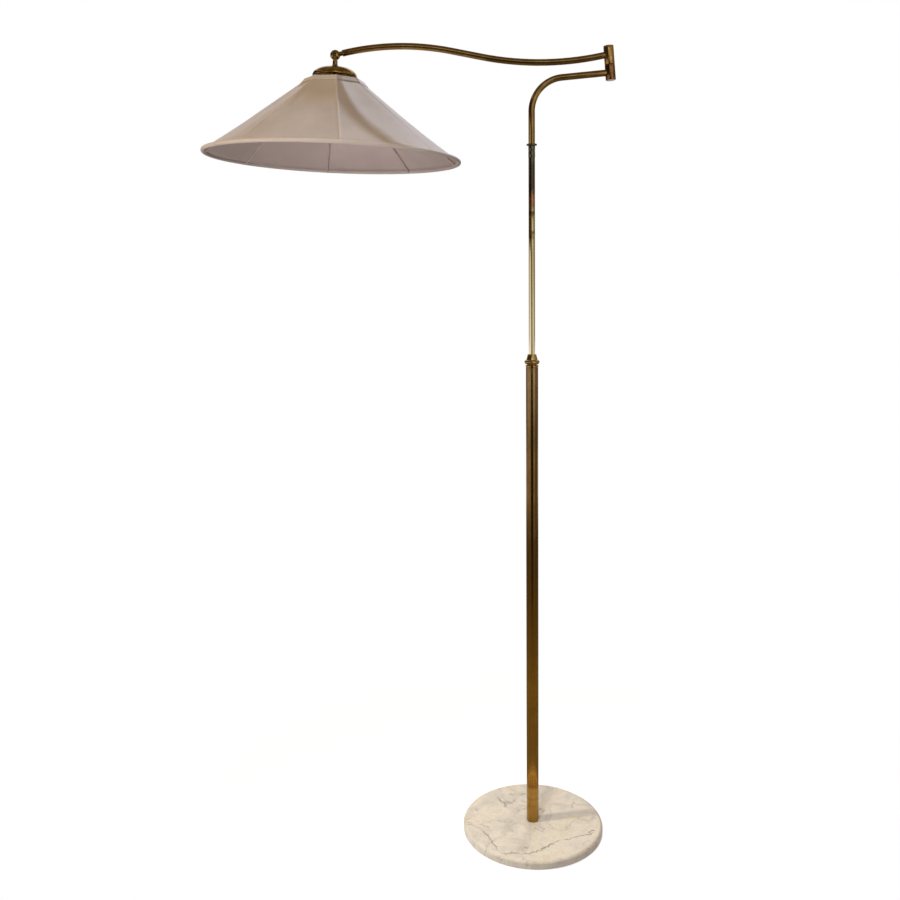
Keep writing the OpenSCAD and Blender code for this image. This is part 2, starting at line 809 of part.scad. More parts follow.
module joint_washers() {
    color("brown") at_pivot() {
        tube(tongue_r - air, pivot_d / 2 + run, tongue_t / 2, joint_washer_t);
        tube(tongue_r - air, pivot_d / 2 + run, -tongue_t / 2 - joint_washer_t, joint_washer_t);
    }
}

module joint_tongue() {
    shank_z = -ball_r - air;
    color("gold") difference() {
        at_head() {
            rotate([0, 90, 0]) cylinder(r = tongue_r, h = tongue_t, center = true);
            translate([-tongue_t / 2, -neck_d / 2, shank_z - past]) cube([tongue_t, neck_d, past - shank_z]);
            translate([0, 0, crown_z]) cylinder(d = neck_d, h = shank_z - crown_z);
            translate([0, 0, crown_z])
                cylinder(d1 = neck_foot_d, d2 = neck_d, h = neck_flare);
        }
        at_pivot() translate([0, 0, -ball_d]) cylinder(r = pivot_d / 2 + run, h = 2 * ball_d);
        at_head() translate([0, 0, crown_z - past]) cylinder(r = nipple_d / 2 + seat, h = nipple_in + past);
    }
}

// Dome and the pieces on the nipple

// Points of the dome's profile, drawn in from its outside by a thickness
function dome_profile(in) = [
    for (a = [0 : 6 : 90])
        [dome_flat_r + (dome_d / 2 - dome_flat_r - in) * sin(a), dome_edge_z + (dome_h - in) * cos(a)],
    for (b = [20 : 20 : 120])
        [dome_d / 2 - dome_roll + (dome_roll - in) * cos(b), dome_edge_z - (dome_roll - in) * sin(b)]
];

module dome_cap() {
    outside = dome_profile(0);
    inside = dome_profile(dome_t);
    hole_r = nipple_d / 2 + seat;
    back = [for (i = [len(inside) - 1 : -1 : 0]) inside[i]];
    color("goldenrod") at_head() rotate_extrude()
        polygon(concat([[hole_r, crown_z]], outside, back, [[hole_r, crown_z - dome_t]]));
}

module dome_washer() {
    color("silver") at_head()
        tube(dome_washer_d / 2, nipple_d / 2 + seat, dome_nut_z + nipple_nut_h, dome_washer_t);
}

module nipple() {
    color("gray") at_head()
        tube(nipple_d / 2, nipple_bore / 2, holder_z, crown_z + nipple_in - holder_z);
}

module nipple_nuts() {
    color("silver") at_head() difference() {
        union() {
            hex(nipple_nut_flats, dome_nut_z, nipple_nut_h);
            hex(nipple_nut_flats, spider_z + spider_t, nipple_nut_h);
        }
        translate([0, 0, holder_z]) cylinder(r = nipple_d / 2 + seat, h = -holder_z);
    }
}

// Wire frame of the shade

function around(r, a, z) = [r * cos(a), r * sin(a), z];
function seam_a(i) = seam_turn + i * panel_a;

module shade_top_ring() {
    color("dimgray") at_head()
        for (i = [0 : panels - 1]) {
            wire(
                around(top_ring_r, seam_a(i), top_ring_z),
                around(top_ring_r, seam_a(i + 1), top_ring_z),
                wire_d
            );
            translate(around(top_ring_r, seam_a(i), top_ring_z))
                rotate([0, shade_slope, seam_a(i)])
                    cylinder(r = ring_corner_r, h = wire_d + 2 * weld, center = true);
        }
}

// The ribs lie along the cloth, from the welded corners of the top ring to the ring in the rim
module rib_wires(d) {
    short = ring_corner_r + seat;
    out = short * cos(shade_slope);
    down = short * sin(shade_slope);
    for (i = [0 : panels - 1])
        wire(
            around(top_ring_r + out, seam_a(i), top_ring_z - down),
            around(rib_end_r - out, seam_a(i), rib_end_z + down),
            d
        );
}

module rim_torus(d) {
    translate([0, 0, rim_z]) rotate_extrude() translate([rim_ring_r, 0]) circle(d = d);
}

module shade_rim_ring() {
    color("dimgray") at_head() rim_torus(wire_d);
}

module shade_ribs() {
    color("gray") at_head() rib_wires(wire_d);
}

module shade_spider() {
    spoke_r = spider_d / 2 - spoke_land;
    spoke_end_r = top_ring_r - (wire_d / 2 + seat + spoke_d / 2 * sin(panel_a / 2)) / cos(panel_a / 2);
    color("slategray") at_head() {
        tube(spider_d / 2, nipple_d / 2 + seat, spider_z, spider_t);
        for (i = [0 : 2 : panels - 1])
            wire(
                around(spoke_r, seam_a(i), top_ring_z),
                around(spoke_end_r, seam_a(i), top_ring_z),
                spoke_d
            );
    }
}

// Cloth of the shade: panels from a polygon at the top to the round rim

// Angle from the middle of the panel that holds the direction a
function in_panel(a) = let (m = (a - seam_turn) / panel_a) (m - floor(m) - 0.5) * panel_a;

// A point of the cloth at direction a and share t of the way down, moved inwards by in
function cloth_point(a, t, in) =
    let (
        middle = pow(cos(in_panel(a) * 180 / panel_a), 2),
        top_r = shade_top_r * cos(panel_a / 2) / cos(in_panel(a)),
        r = (1 - t) * top_r + t * rim_ring_r - panel_sag * sin(180 * t) * middle
    )
    around(r - in * sin(shade_slope), a, shade_top_z - t * shade_h - in * cos(shade_slope));

// A band of cloth between two shares of the way down and two depths inwards, swelling out by fold at its top
module cloth_band(t_from, t_to, out, in, rings, fold = 0) {
    count = panels * strips;
    angles = [for (i = [0 : count - 1]) seam_turn + i * panel_a / strips];
    shares = [for (j = [0 : rings]) t_from + (t_to - t_from) * j / rings];
    side = (rings + 1) * count;
    points = [
        for (t = shares, a = angles) cloth_point(a, t, out - fold * (t_to - t) / (t_to - t_from)),
        for (t = shares, a = angles) cloth_point(a, t, in)
    ];
    walls = [
        for (s = [0, 1], j = [0 : rings - 1], i = [0 : count - 1])
            let (
                n = (i + 1) % count,
                p = s * side + j * count + i,
                q = s * side + j * count + n
            )
            each s == 0
                ? [[p, q, p + count], [q, q + count, p + count]]
                : [[p, p + count, q], [q, p + count, q + count]]
    ];
    ends = [
        for (j = [0, rings], i = [0 : count - 1])
            let (
                n = (i + 1) % count,
                p = j * count + i,
                q = j * count + n
            )
            each j == 0
                ? [[p, side + p, q], [q, side + p, side + q]]
                : [[p, q, side + p], [q, side + q, side + p]]
    ];
    polyhedron(points, concat(walls, ends));
}

module shade_cover() {
    foot = 1 - (piping_d / 2 + air) / shade_slant;
    color("antiquewhite") at_head() cloth_band(0, foot, 0, cloth_t, cloth_rings);
}

module shade_tape() {
    foot = trim_w / shade_slant;
    color("ivory") at_head() cloth_band(0, foot, -air - trim_t, -air, 1, trim_fold_t - trim_t);
}

module rim_piping() {
    color("ivory") at_head() difference() {
        rim_torus(piping_d);
        rim_torus(wire_d + 2 * seat);
        rib_wires(wire_d + 2 * seat);
    }
}

// Lampholder, switch and bulb

module holder_cap() {
    color("gold") at_head() difference() {
        union() {
            translate([0, 0, holder_z]) cylinder(d = collar_d, h = collar_h);
            translate([0, 0, cap_foot_z]) cylinder(d = holder_d, h = holder_cap_h);
        }
        translate([0, 0, cap_foot_z - past])
            cylinder(r = holder_d / 2 - holder_wall, h = holder_cap_h - holder_wall + past);
        translate([0, 0, holder_z - holder_wall - past])
            cylinder(r = nipple_d / 2 + seat, h = collar_h + holder_wall + 2 * past);
        translate([0, 0, key_z]) rotate([0, 90, 0]) cylinder(r = key_d / 2 + run, h = holder_d);
    }
}

module holder_shell() {
    color("goldenrod") at_head() tube(shell_r, shell_r - holder_wall, shell_foot_z, shell_out + shell_in);
}

module holder_insert() {
    color("white") at_head() difference() {
        translate([0, 0, insert_foot_z]) cylinder(r = insert_r, h = insert_t);
        for (a = [0, 180])
            rotate([0, 0, a])
                translate([insert_r / 2, 0, insert_foot_z - past])
                    cylinder(d = insert_hole_d, h = insert_t + 2 * past);
    }
}

module screw_shell() {
    foot = bulb_foot_z + screw_shell_short;
    color("khaki") at_head()
        tube(screw_shell_d / 2 + screw_shell_wall, screw_shell_d / 2, foot, insert_foot_z - foot);
}

module centre_contact() {
    color("gold") at_head() translate([0, 0, bulb_top_z]) cylinder(d = contact_d, h = contact_t);
}

module switch_key() {
    spindle_x = holder_d / 2 - holder_wall - key_in;
    color("black") at_head() translate([0, 0, key_z]) rotate([0, 90, 0]) {
        translate([0, 0, spindle_x]) cylinder(d = key_d, h = key_out - spindle_x);
        translate([-key_t / 2, -key_w / 2, key_out]) cube([key_t, key_w, key_len]);
    }
}

module bulb_cap() {
    color("silver") at_head() difference() {
        translate([0, 0, bulb_foot_z]) cylinder(r = bulb_r, h = bulb_cap_h);
        translate([0, 0, bulb_foot_z - past])
            cylinder(r = bulb_r - bulb_cap_wall, h = bulb_cap_h - bulb_cap_roof + past);
    }
}

module bulb_globe() {
    neck_r = bulb_r - bulb_cap_wall - seat;
    color("white") at_head() difference() {
        union() {
            translate([0, 0, globe_z]) sphere(d = bulb_d);
            translate([0, 0, globe_z]) cylinder(r = neck_r, h = bulb_off + bulb_neck_in);
        }
        translate([0, 0, globe_z]) sphere(d = bulb_d - 2 * bulb_glass_t);
        translate([0, 0, globe_z])
            cylinder(r = neck_r - bulb_glass_t, h = bulb_off + bulb_neck_in - bulb_glass_t);
    }
}

felt_pad();
marble_base();
inlet_bush();
foot_washer();
foot_nut();
tie_rod();
foot_plug();
outer_tube();
clamp_ferrule();
clamp_collet();
clamp_nut();
inner_tube();
guide_bush();
top_sleeve();
grub_screw();
swivel_washer();
swivel_post();
elbow_tube();
lower_knuckle();
knuckle_washer();
knuckle_pin();
pin_washer();
pin_nut();
upper_knuckle();
knuckle_cap();
swing_arm();
joint_ball();
pivot_screw();
joint_washers();
joint_tongue();
dome_cap();
dome_washer();
nipple();
nipple_nuts();
shade_spider();
shade_top_ring();
shade_ribs();
shade_rim_ring();
shade_cover();
shade_tape();
rim_piping();
holder_cap();
holder_shell();
holder_insert();
screw_shell();
centre_contact();
switch_key();
bulb_cap();
bulb_globe();
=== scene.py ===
import math
import bmesh
import bpy
from mathutils import Matrix, Vector


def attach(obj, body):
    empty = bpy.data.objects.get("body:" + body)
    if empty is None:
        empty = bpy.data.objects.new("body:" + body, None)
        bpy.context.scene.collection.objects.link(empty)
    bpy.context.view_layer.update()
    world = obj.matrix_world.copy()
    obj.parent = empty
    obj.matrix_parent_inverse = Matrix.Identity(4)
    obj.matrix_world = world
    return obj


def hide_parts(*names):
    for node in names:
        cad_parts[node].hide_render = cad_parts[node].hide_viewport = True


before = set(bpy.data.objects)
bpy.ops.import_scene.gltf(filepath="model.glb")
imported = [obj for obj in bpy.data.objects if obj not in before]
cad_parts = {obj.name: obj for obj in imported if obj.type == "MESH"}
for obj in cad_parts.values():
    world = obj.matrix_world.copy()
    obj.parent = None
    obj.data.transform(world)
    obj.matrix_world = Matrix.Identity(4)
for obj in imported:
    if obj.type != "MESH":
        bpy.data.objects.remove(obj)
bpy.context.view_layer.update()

# Camera
# The lamp is seen from about 1.9 m in front of the stem, at about seven tenths of its height.
# The view is turned slightly left and down, and it leans by half a degree.
camera = bpy.data.objects.new("camera", bpy.data.cameras.new("camera"))
bpy.context.scene.collection.objects.link(camera)
camera.data.lens = 38.08
camera.data.sensor_width = 36
camera.data.shift_y = -0.099
camera.matrix_world = (
    Matrix.Translation((-0.060, -1.9273, 1.1629))
    @ Matrix.Rotation(math.radians(3.159), 4, "Z")
    @ Matrix.Rotation(math.radians(85), 4, "X")
    @ Matrix.Rotation(math.radians(-0.516), 4, "Z")
)
bpy.context.scene.camera = camera

# Felt pad
# A disc of pressed wool felt, punched from sheet and glued under the marble.
# It keeps the stone from scratching the floor.
FELT_R = 0.140
FELT_TOP = 0.002


def linear(colour):
    """The linear red, green, blue and alpha of an sRGB hex colour."""
    parts = [int(colour[i:i + 2], 16) / 255 for i in (1, 3, 5)]
    return [p / 12.92 if p <= 0.04045 else ((p + 0.055) / 1.055) ** 2.4 for p in parts] + [1]


def add(tree, kind, inputs=None, stops=(), **settings):
    """Adds a node with its settings; an input is a value or another node's output."""
    node = tree.nodes.new(kind)
    for name, value in settings.items():
        setattr(node, name, value)
    for name, value in (inputs or {}).items():
        if isinstance(value, bpy.types.NodeSocket):
            tree.links.new(value, node.inputs[name])
        else:
            node.inputs[name].default_value = value
    for i, (place, colour) in enumerate(stops):
        element = node.color_ramp.elements[i] if i < 2 else node.color_ramp.elements.new(place)
        element.position = place
        element.color = linear(colour)
    return node


def new_finish(name):
    """An empty material and its node tree."""
    material = bpy.data.materials.new(name)
    material.use_nodes = True
    material.node_tree.nodes.clear()
    return material, material.node_tree


def mottled(name, size, detail, *stops):
    """A new finish and its tree, with a noise's value and colours; the size of its grains is in metres."""
    material, tree = new_finish(name)
    place = add(tree, "ShaderNodeTexCoord")
    grains = add(tree, "ShaderNodeTexNoise", {
        "Vector": place.outputs["Object"], "Scale": 1 / size, "Detail": detail,
    })
    colour = add(tree, "ShaderNodeValToRGB", {"Fac": grains.outputs["Fac"]}, stops)
    return material, tree, grains.outputs["Fac"], colour.outputs["Color"]


def turned(profile, steps=96):
    """A closed profile of radius and height, spun about Z."""
    bm = bmesh.new()
    points = [bm.verts.new((r, 0, z)) for r, z in profile]
    lines = [bm.edges.new(pair) for pair in zip(points, points[1:] + points[:1])]
    bmesh.ops.spin(
        bm, geom=points + lines, cent=(0, 0, 0), axis=(0, 0, 1),
        angle=math.tau, steps=steps, use_merge=True,
    )
    bmesh.ops.remove_doubles(bm, verts=bm.verts, dist=1e-6)
    bmesh.ops.dissolve_degenerate(bm, edges=bm.edges, dist=1e-7)
    bmesh.ops.recalc_face_normals(bm, faces=bm.faces)
    return bm


def soften(bm, width, steps=3):
    """Rounds off the sharp edges."""
    sharp = [e for e in bm.edges if e.is_manifold and e.calc_face_angle() > math.radians(35)]
    bmesh.ops.bevel(
        bm, geom=sharp, offset=width, offset_type="OFFSET", affect="EDGES",
        segments=steps, profile=0.5, material=-1, clamp_overlap=True,
    )
    return bm


def piece(name, bm, coat, body, slot, *nodes):
    """A finished piece on its body, in place of the solids that it stands for."""
    bmesh.ops.recalc_face_normals(bm, faces=bm.faces)
    mesh = bpy.data.meshes.new(name)
    bm.to_mesh(mesh)
    bm.free()
    mesh.materials.append(coat)
    mesh.shade_smooth()
    mesh.set_sharp_from_angle(angle=math.radians(38))
    made = bpy.data.objects.new(name, mesh)
    bpy.context.scene.collection.objects.link(made)
    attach(made, body)
    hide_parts(*nodes)
    return made


# Pressed wool felt: dull, with a fine tangle of fibres and a little dust in it.
# Fibres of about 1 mm, drawn at 2 mm so that they show
wool_felt, tree, fibres, tint = mottled("pressed_wool_felt", 0.002, 5, (0.3, "#1b241c"), (0.7, "#303a2e"))
nap = add(tree, "ShaderNodeBump", {"Height": fibres, "Strength": 0.5, "Distance": 0.0005})
surface = add(tree, "ShaderNodeBsdfPrincipled", {
    "Base Color": tint, "Normal": nap.outputs["Normal"], "Roughness": 0.95, "Sheen Weight": 0.2,
})
add(tree, "ShaderNodeOutputMaterial", {"Surface": surface.outputs["BSDF"]})

bm = soften(turned([(0, 0), (FELT_R, 0), (FELT_R, FELT_TOP), (0, FELT_TOP)]), 0.0006)
felt_disc = piece("felt_disc", bm, wool_felt, "stand", "felt", "felt_pad")

# Marble base
# A disc sawn from pale veined marble and turned, with a rounded top edge and a honed face.
# The stem is pulled down on it from below, and the cord comes in through a hole at the back.
BASE_R = 0.146
BASE_TOP = 0.020
EDGE_R = 0.007
INLET_FACE = 0.1452
INLET_HEIGHT = 0.0077

# Honed marble: cream stone with soft grey clouds and a few thin broken veins, under a dull polish.
marble, tree = new_finish("honed_marble")
place = add(tree, "ShaderNodeTexCoord")
# Clouds of about 45 mm
clouds = add(tree, "ShaderNodeTexNoise", {
    "Vector": place.outputs["Object"], "Scale": 1 / 0.045, "Detail": 6, "Roughness": 0.6, "Distortion": 0.4,
})
stone = add(
    tree, "ShaderNodeValToRGB", {"Fac": clouds.outputs["Fac"]},
    [(0.34, "#d3d0ca"), (0.44, "#e0dcd5"), (0.55, "#ece7df"), (0.7, "#e9e0d0")],
)
# Streaky grain about 12 mm long
grain = add(tree, "ShaderNodeTexNoise", {
    "Vector": place.outputs["Object"], "Scale": 1 / 0.012, "Detail": 5, "Roughness": 0.65, "Distortion": 1.6,
})
grained = add(tree, "ShaderNodeMapRange", {
    "Value": grain.outputs["Fac"], "From Min": 0.46, "From Max": 0.7, "To Min": 0.0, "To Max": 0.6,
})
streaky = add(tree, "ShaderNodeMix", {
    "Factor": grained.outputs[0], "A": stone.outputs["Color"], "B": linear("#c9c6bd"),
}, data_type="RGBA")
# Long veins about 110 mm apart, where a warped field passes its middle value
field = add(tree, "ShaderNodeTexNoise", {
    "Vector": place.outputs["Object"], "Scale": 1 / 0.11, "Detail": 5, "Roughness": 0.55, "Distortion": 0.5,
})
middle = add(tree, "ShaderNodeMath", {0: field.outputs["Fac"], 1: 0.47}, operation="SUBTRACT")
across = add(tree, "ShaderNodeMath", {0: middle.outputs[0]}, operation="ABSOLUTE")
# A grey halo some 10 mm wide, and the vein itself some 3 mm wide
halo = add(tree, "ShaderNodeMapRange", {
    "Value": across.outputs[0], "From Min": 0.0, "From Max": 0.045, "To Min": 0.35, "To Max": 0.0,
})
hazed = add(tree, "ShaderNodeMix", {
    "Factor": halo.outputs[0], "A": streaky.outputs["Result"], "B": linear("#c6c1b8"),
}, data_type="RGBA")
vein = add(tree, "ShaderNodeMapRange", {
    "Value": across.outputs[0], "From Min": 0.0, "From Max": 0.012, "To Min": 1.0, "To Max": 0.0,
})
# The veins break off and start again over some 25 mm
breaks = add(tree, "ShaderNodeTexNoise", {"Vector": place.outputs["Object"], "Scale": 1 / 0.025, "Detail": 3})
broken = add(tree, "ShaderNodeMapRange", {
    "Value": breaks.outputs["Fac"], "From Min": 0.5, "From Max": 0.66, "To Min": 0.08, "To Max": 0.75,
})
strength = add(tree, "ShaderNodeMath", {0: vein.outputs[0], 1: broken.outputs[0]}, operation="MULTIPLY")
# The strongest ones on the top face, each from a start to an end in metres, wavering by 5 mm
waver = add(tree, "ShaderNodeTexNoise", {
    "Vector": place.outputs["Object"], "Scale": 1 / 0.014, "Detail": 3, "Roughness": 0.6,
})
aside = add(tree, "ShaderNodeMapRange", {"Value": waver.outputs["Fac"], "To Min": -0.01, "To Max": 0.01})
dark = strength
for start, end in (
    ((-0.070, -0.122), (0.006, -0.118)), ((0.000, -0.118), (0.055, -0.072)),
    ((0.060, -0.070), (0.125, -0.045)), ((-0.104, -0.042), (-0.072, -0.110)),
    ((-0.076, 0.088), (-0.052, 0.040)), ((0.112, -0.042), (0.128, -0.036)),
):
    run = Vector(end) - Vector(start)
    line = add(tree, "ShaderNodeMapping", {
        "Vector": place.outputs["Object"], "Location": (*start, 0), "Scale": (run.length, 1, 1),
        "Rotation": (0, 0, math.atan2(run.y, run.x)),
    }, vector_type="TEXTURE")
    parts = add(tree, "ShaderNodeSeparateXYZ", {"Vector": line.outputs["Vector"]})
    off = add(tree, "ShaderNodeMath", {0: parts.outputs["Y"], 1: aside.outputs[0]}, operation="ADD")
    beside = add(tree, "ShaderNodeMath", {0: off.outputs[0]}, operation="ABSOLUTE")
    thin = add(tree, "ShaderNodeMapRange", {
        "Value": beside.outputs[0], "From Min": 0.0004, "From Max": 0.0022, "To Min": 0.8, "To Max": 0.0,
    })
    ahead = add(tree, "ShaderNodeMath", {0: parts.outputs["X"], 1: 0.5}, operation="SUBTRACT")
    from_middle = add(tree, "ShaderNodeMath", {0: ahead.outputs[0]}, operation="ABSOLUTE")
    ends = add(tree, "ShaderNodeMapRange", {
        "Value": from_middle.outputs[0], "From Min": 0.4, "From Max": 0.52, "To Min": 1.0, "To Max": 0.0,
    })
    drawn = add(tree, "ShaderNodeMath", {0: thin.outputs[0], 1: ends.outputs[0]}, operation="MULTIPLY")
    patchy = add(tree, "ShaderNodeMath", {
        0: drawn.outputs[0], 1: breaks.outputs["Fac"],
    }, operation="MULTIPLY")
    dark = add(tree, "ShaderNodeMath", {
        0: patchy.outputs[0], 1: 1.9, 2: dark.outputs[0],
    }, operation="MULTIPLY_ADD")
marked = add(tree, "ShaderNodeMix", {
    "Factor": dark.outputs[0], "A": hazed.outputs["Result"], "B": linear("#7d756b"),
}, data_type="RGBA")
honing = add(tree, "ShaderNodeMapRange", {
    "Value": clouds.outputs["Fac"], "From Min": 0.3, "From Max": 0.7, "To Min": 0.32, "To Max": 0.46,
})
surface = add(tree, "ShaderNodeBsdfPrincipled", {
    "Base Color": marked.outputs["Result"], "Roughness": honing.outputs[0], "IOR": 1.5,
})
add(tree, "ShaderNodeOutputMaterial", {"Surface": surface.outputs["BSDF"]})


def cut(bm, *tools):
    """The shape that is left when the tools' shapes are taken out of it."""
    shapes = []
    for shape in (bm, *tools):
        mesh = bpy.data.meshes.new("cutting")
        shape.to_mesh(mesh)
        shape.free()
        shapes.append(bpy.data.objects.new("cutting", mesh))
        bpy.context.scene.collection.objects.link(shapes[-1])
    for tool in shapes[1:]:
        taken = shapes[0].modifiers.new("taken", "BOOLEAN")
        taken.operation = "DIFFERENCE"
        taken.solver = "EXACT"
        taken.object = tool
    left = bmesh.new()
    left.from_object(shapes[0], bpy.context.evaluated_depsgraph_get())
    for shape in shapes:
        mesh = shape.data
        bpy.data.objects.remove(shape)
        bpy.data.meshes.remove(mesh)
    return left


def rod(bm, start, end, radius, steps=24):
    """A round rod between two points."""
    run = Vector(end) - Vector(start)
    turn = run.to_track_quat("Z", "Y").to_matrix().to_4x4()
    bmesh.ops.create_cone(
        bm, cap_ends=True, segments=steps, radius1=radius, radius2=radius, depth=run.length,
        matrix=Matrix.Translation((Vector(start) + Vector(end)) / 2) @ turn,
    )
    return bm


def arc(centre, width, rise, degrees):
    """Points of a profile on an ellipse about a centre, at angles from straight up to outwards and on."""
    turns = [math.radians(d) for d in degrees]
    return [(centre[0] + width * math.sin(a), centre[1] + rise * math.cos(a)) for a in turns]


edge = arc((BASE_R - EDGE_R, BASE_TOP - EDGE_R), EDGE_R, EDGE_R, range(0, 91, 10))
bm = turned([(0, BASE_TOP)] + edge + [(BASE_R, 0.0035), (0.1445, FELT_TOP), (0, FELT_TOP)], 160)
bore = rod(bmesh.new(), (0, 0.08, INLET_HEIGHT), (0, 0.16, INLET_HEIGHT), 0.0035)
seat = rod(bmesh.new(), (0, INLET_FACE, INLET_HEIGHT), (0, 0.16, INLET_HEIGHT), 0.005)
piece("marble_disc", cut(bm, bore, seat), marble, "stand", "marble", "marble_base")

# Fastenings under the base
# A hollow threaded rod runs through the disc, with a washer and a nut in the recess below it.
# They are plain turned steel, and a moulded bush lines the cord's hole.


def dress(coat, *nodes):
    """Gives solids that are shown as they are their finish."""
    for node in nodes:
        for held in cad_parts[node].material_slots:
            held.material = coat


# Turned steel: grey metal with fine marks from the tool.
# Tool marks of about 0.3 mm, drawn at 0.8 mm so that they show
turned_steel, tree, marks, grey = mottled("turned_steel", 0.0008, 3, (0.3, "#8b8a86"), (0.7, "#b4b2ad"))
polish = add(tree, "ShaderNodeMapRange", {"Value": marks, "To Min": 0.25, "To Max": 0.5})
surface = add(tree, "ShaderNodeBsdfPrincipled", {
    "Base Color": grey, "Roughness": polish.outputs[0], "Metallic": 1.0,
})
add(tree, "ShaderNodeOutputMaterial", {"Surface": surface.outputs["BSDF"]})
dress(turned_steel, "foot_washer", "foot_nut", "tie_rod")

# Moulded phenolic plastic: black, with a slight grain and a low shine.
# Grain of about 1 mm
black_plastic, tree, grain, black = mottled(
    "moulded_phenolic_plastic", 0.001, 3, (0.35, "#161413"), (0.7, "#24211f"),
)
shine = add(tree, "ShaderNodeMapRange", {"Value": grain, "To Min": 0.3, "To Max": 0.5})
surface = add(tree, "ShaderNodeBsdfPrincipled", {
    "Base Color": black, "Roughness": shine.outputs[0], "IOR": 1.55,
})
add(tree, "ShaderNodeOutputMaterial", {"Surface": surface.outputs["BSDF"]})
bm = turned([
    (0.0025, -0.010), (0.0035, -0.010), (0.0035, 0), (0.005, 0), (0.005, 0.0015), (0.0025, 0.0015),
], 48)
soften(bm, 0.0004)
bmesh.ops.transform(
    bm, verts=bm.verts,
    matrix=Matrix.Translation((0, INLET_FACE, INLET_HEIGHT)) @ Matrix.Rotation(math.radians(-90), 4, "X"),
)
piece("cord_bush", bm, black_plastic, "stand", "black_plastic", "inlet_bush")

# Outer tube
# A drawn brass tube, 25 mm across, soldered on the foot plug and polished long ago.
# Its lacquer has browned towards the middle and is worn off in a paler, marked length at the foot; both are
# partly painted reflection, pale by the marble and darker higher up.
OUTER_R = 0.0125
OUTER_BORE = 0.011
OUTER_TOP = 0.980

# Aged brass of the stem: drawn metal with streaks along it, coloured by height, partly browned lacquer and
# partly painted reflection.
stem_brass, tree = new_finish("aged_brass_stem")
place = add(tree, "ShaderNodeTexCoord")
height = add(tree, "ShaderNodeSeparateXYZ", {"Vector": place.outputs["Object"]})
# Colour by height: dark rings for the marks and the joint line, the rest partly browned lacquer and partly
# painted reflection
tone_and_reflection = add(
    tree, "ShaderNodeValToRGB", {"Fac": height.outputs["Z"]},
    [(0.02, "#a57f3d"), (0.051, "#b08a46"), (0.053, "#71521f"), (0.055, "#b08a46"), (0.067, "#b38d4a"),
     (0.069, "#6b4c1d"), (0.071, "#b38d4a"), (0.093, "#b08a48"), (0.096, "#6e4e20"), (0.098, "#926b2e"),
     (0.13, "#bc8a3a"), (0.3, "#c08a36"), (0.45, "#966a2a"), (0.62, "#684922"), (0.85, "#6f5430"),
     (0.97, "#94764c")],
)
# Drawing streaks 3 mm wide and 150 mm long
along = add(tree, "ShaderNodeMapping", {
    "Vector": place.outputs["Object"], "Scale": (1 / 0.003, 1 / 0.003, 1 / 0.15),
})
streaks = add(tree, "ShaderNodeTexNoise", {"Vector": along.outputs["Vector"], "Scale": 1.0, "Detail": 2})
# Stains of about 20 mm
stains = add(tree, "ShaderNodeTexNoise", {"Vector": place.outputs["Object"], "Scale": 1 / 0.02, "Detail": 3})
wear = add(tree, "ShaderNodeMath", {
    0: streaks.outputs["Fac"], 1: stains.outputs["Fac"],
}, operation="MULTIPLY")
shade = add(tree, "ShaderNodeMapRange", {
    "Value": wear.outputs[0], "From Min": 0.12, "From Max": 0.4, "To Min": 0.84, "To Max": 1.14,
})
metal = add(tree, "ShaderNodeVectorMath", {
    0: tone_and_reflection.outputs["Color"], "Scale": shade.outputs[0],
}, operation="SCALE")
polish = add(tree, "ShaderNodeMapRange", {
    "Value": wear.outputs[0], "From Min": 0.12, "From Max": 0.4, "To Min": 0.26, "To Max": 0.14,
})
lines = add(tree, "ShaderNodeBump", {"Height": streaks.outputs["Fac"], "Strength": 0.1, "Distance": 0.0002})
surface = add(tree, "ShaderNodeBsdfPrincipled", {
    "Base Color": metal.outputs["Vector"], "Roughness": polish.outputs[0], "Normal": lines.outputs["Normal"],
    "Metallic": 1.0,
})
add(tree, "ShaderNodeOutputMaterial", {"Surface": surface.outputs["BSDF"]})
dress(stem_brass, "foot_plug", "guide_bush")

wall = [(OUTER_R, BASE_TOP), (OUTER_R, OUTER_TOP), (OUTER_BORE, OUTER_TOP), (OUTER_BORE, BASE_TOP)]
piece("stem_tube", soften(turned(wall, 72), 0.0004), stem_brass, "stand", "aged_brass", "outer_tube")

# Clamp
# A turned ferrule is pressed into the tube, and a split collet stands on it.
# The nut, a bead under a small bell, is turned by hand and squeezes the collet on the inner tube.
BEAD = (0.01075, 0.99125)
BEAD_R = 0.00475


def lathe_brass(name, dark, middle, light):
    """Turned brass: polished on the lathe, then stained through three colours, dullest where it is dark."""
    # Stains of about 9 mm
    brass, tree, stains, aged = mottled(name, 0.009, 3, (0.3, dark), (0.5, middle), (0.72, light))
    polish = add(tree, "ShaderNodeMapRange", {
        "Value": stains, "From Min": 0.3, "From Max": 0.7, "To Min": 0.22, "To Max": 0.1,
    })
    surface = add(tree, "ShaderNodeBsdfPrincipled", {
        "Base Color": aged, "Roughness": polish.outputs[0], "Metallic": 1.0,
    })
    add(tree, "ShaderNodeOutputMaterial", {"Surface": surface.outputs["BSDF"]})
    return brass


# The ferrule has browned, and the nut is kept bright by the hand that turns it
turned_brass = lathe_brass("aged_brass_turned", "#7f5f30", "#95723c", "#ae8d52")
handled_brass = lathe_brass("handled_brass_turned", "#987947", "#b29057", "#cfb275")
dress(turned_brass, "clamp_collet")

bm = turned([
    (0.00656, 0.950), (0.01096, 0.950), (0.01096, OUTER_TOP), (0.0129, OUTER_TOP), (0.0129, 0.985),
    (0.010, 0.985), (0.010, 0.9955), (0.00656, 0.9955),
], 72)
piece("stem_ferrule", soften(bm, 0.0007), turned_brass, "stand", "aged_brass", "clamp_ferrule")

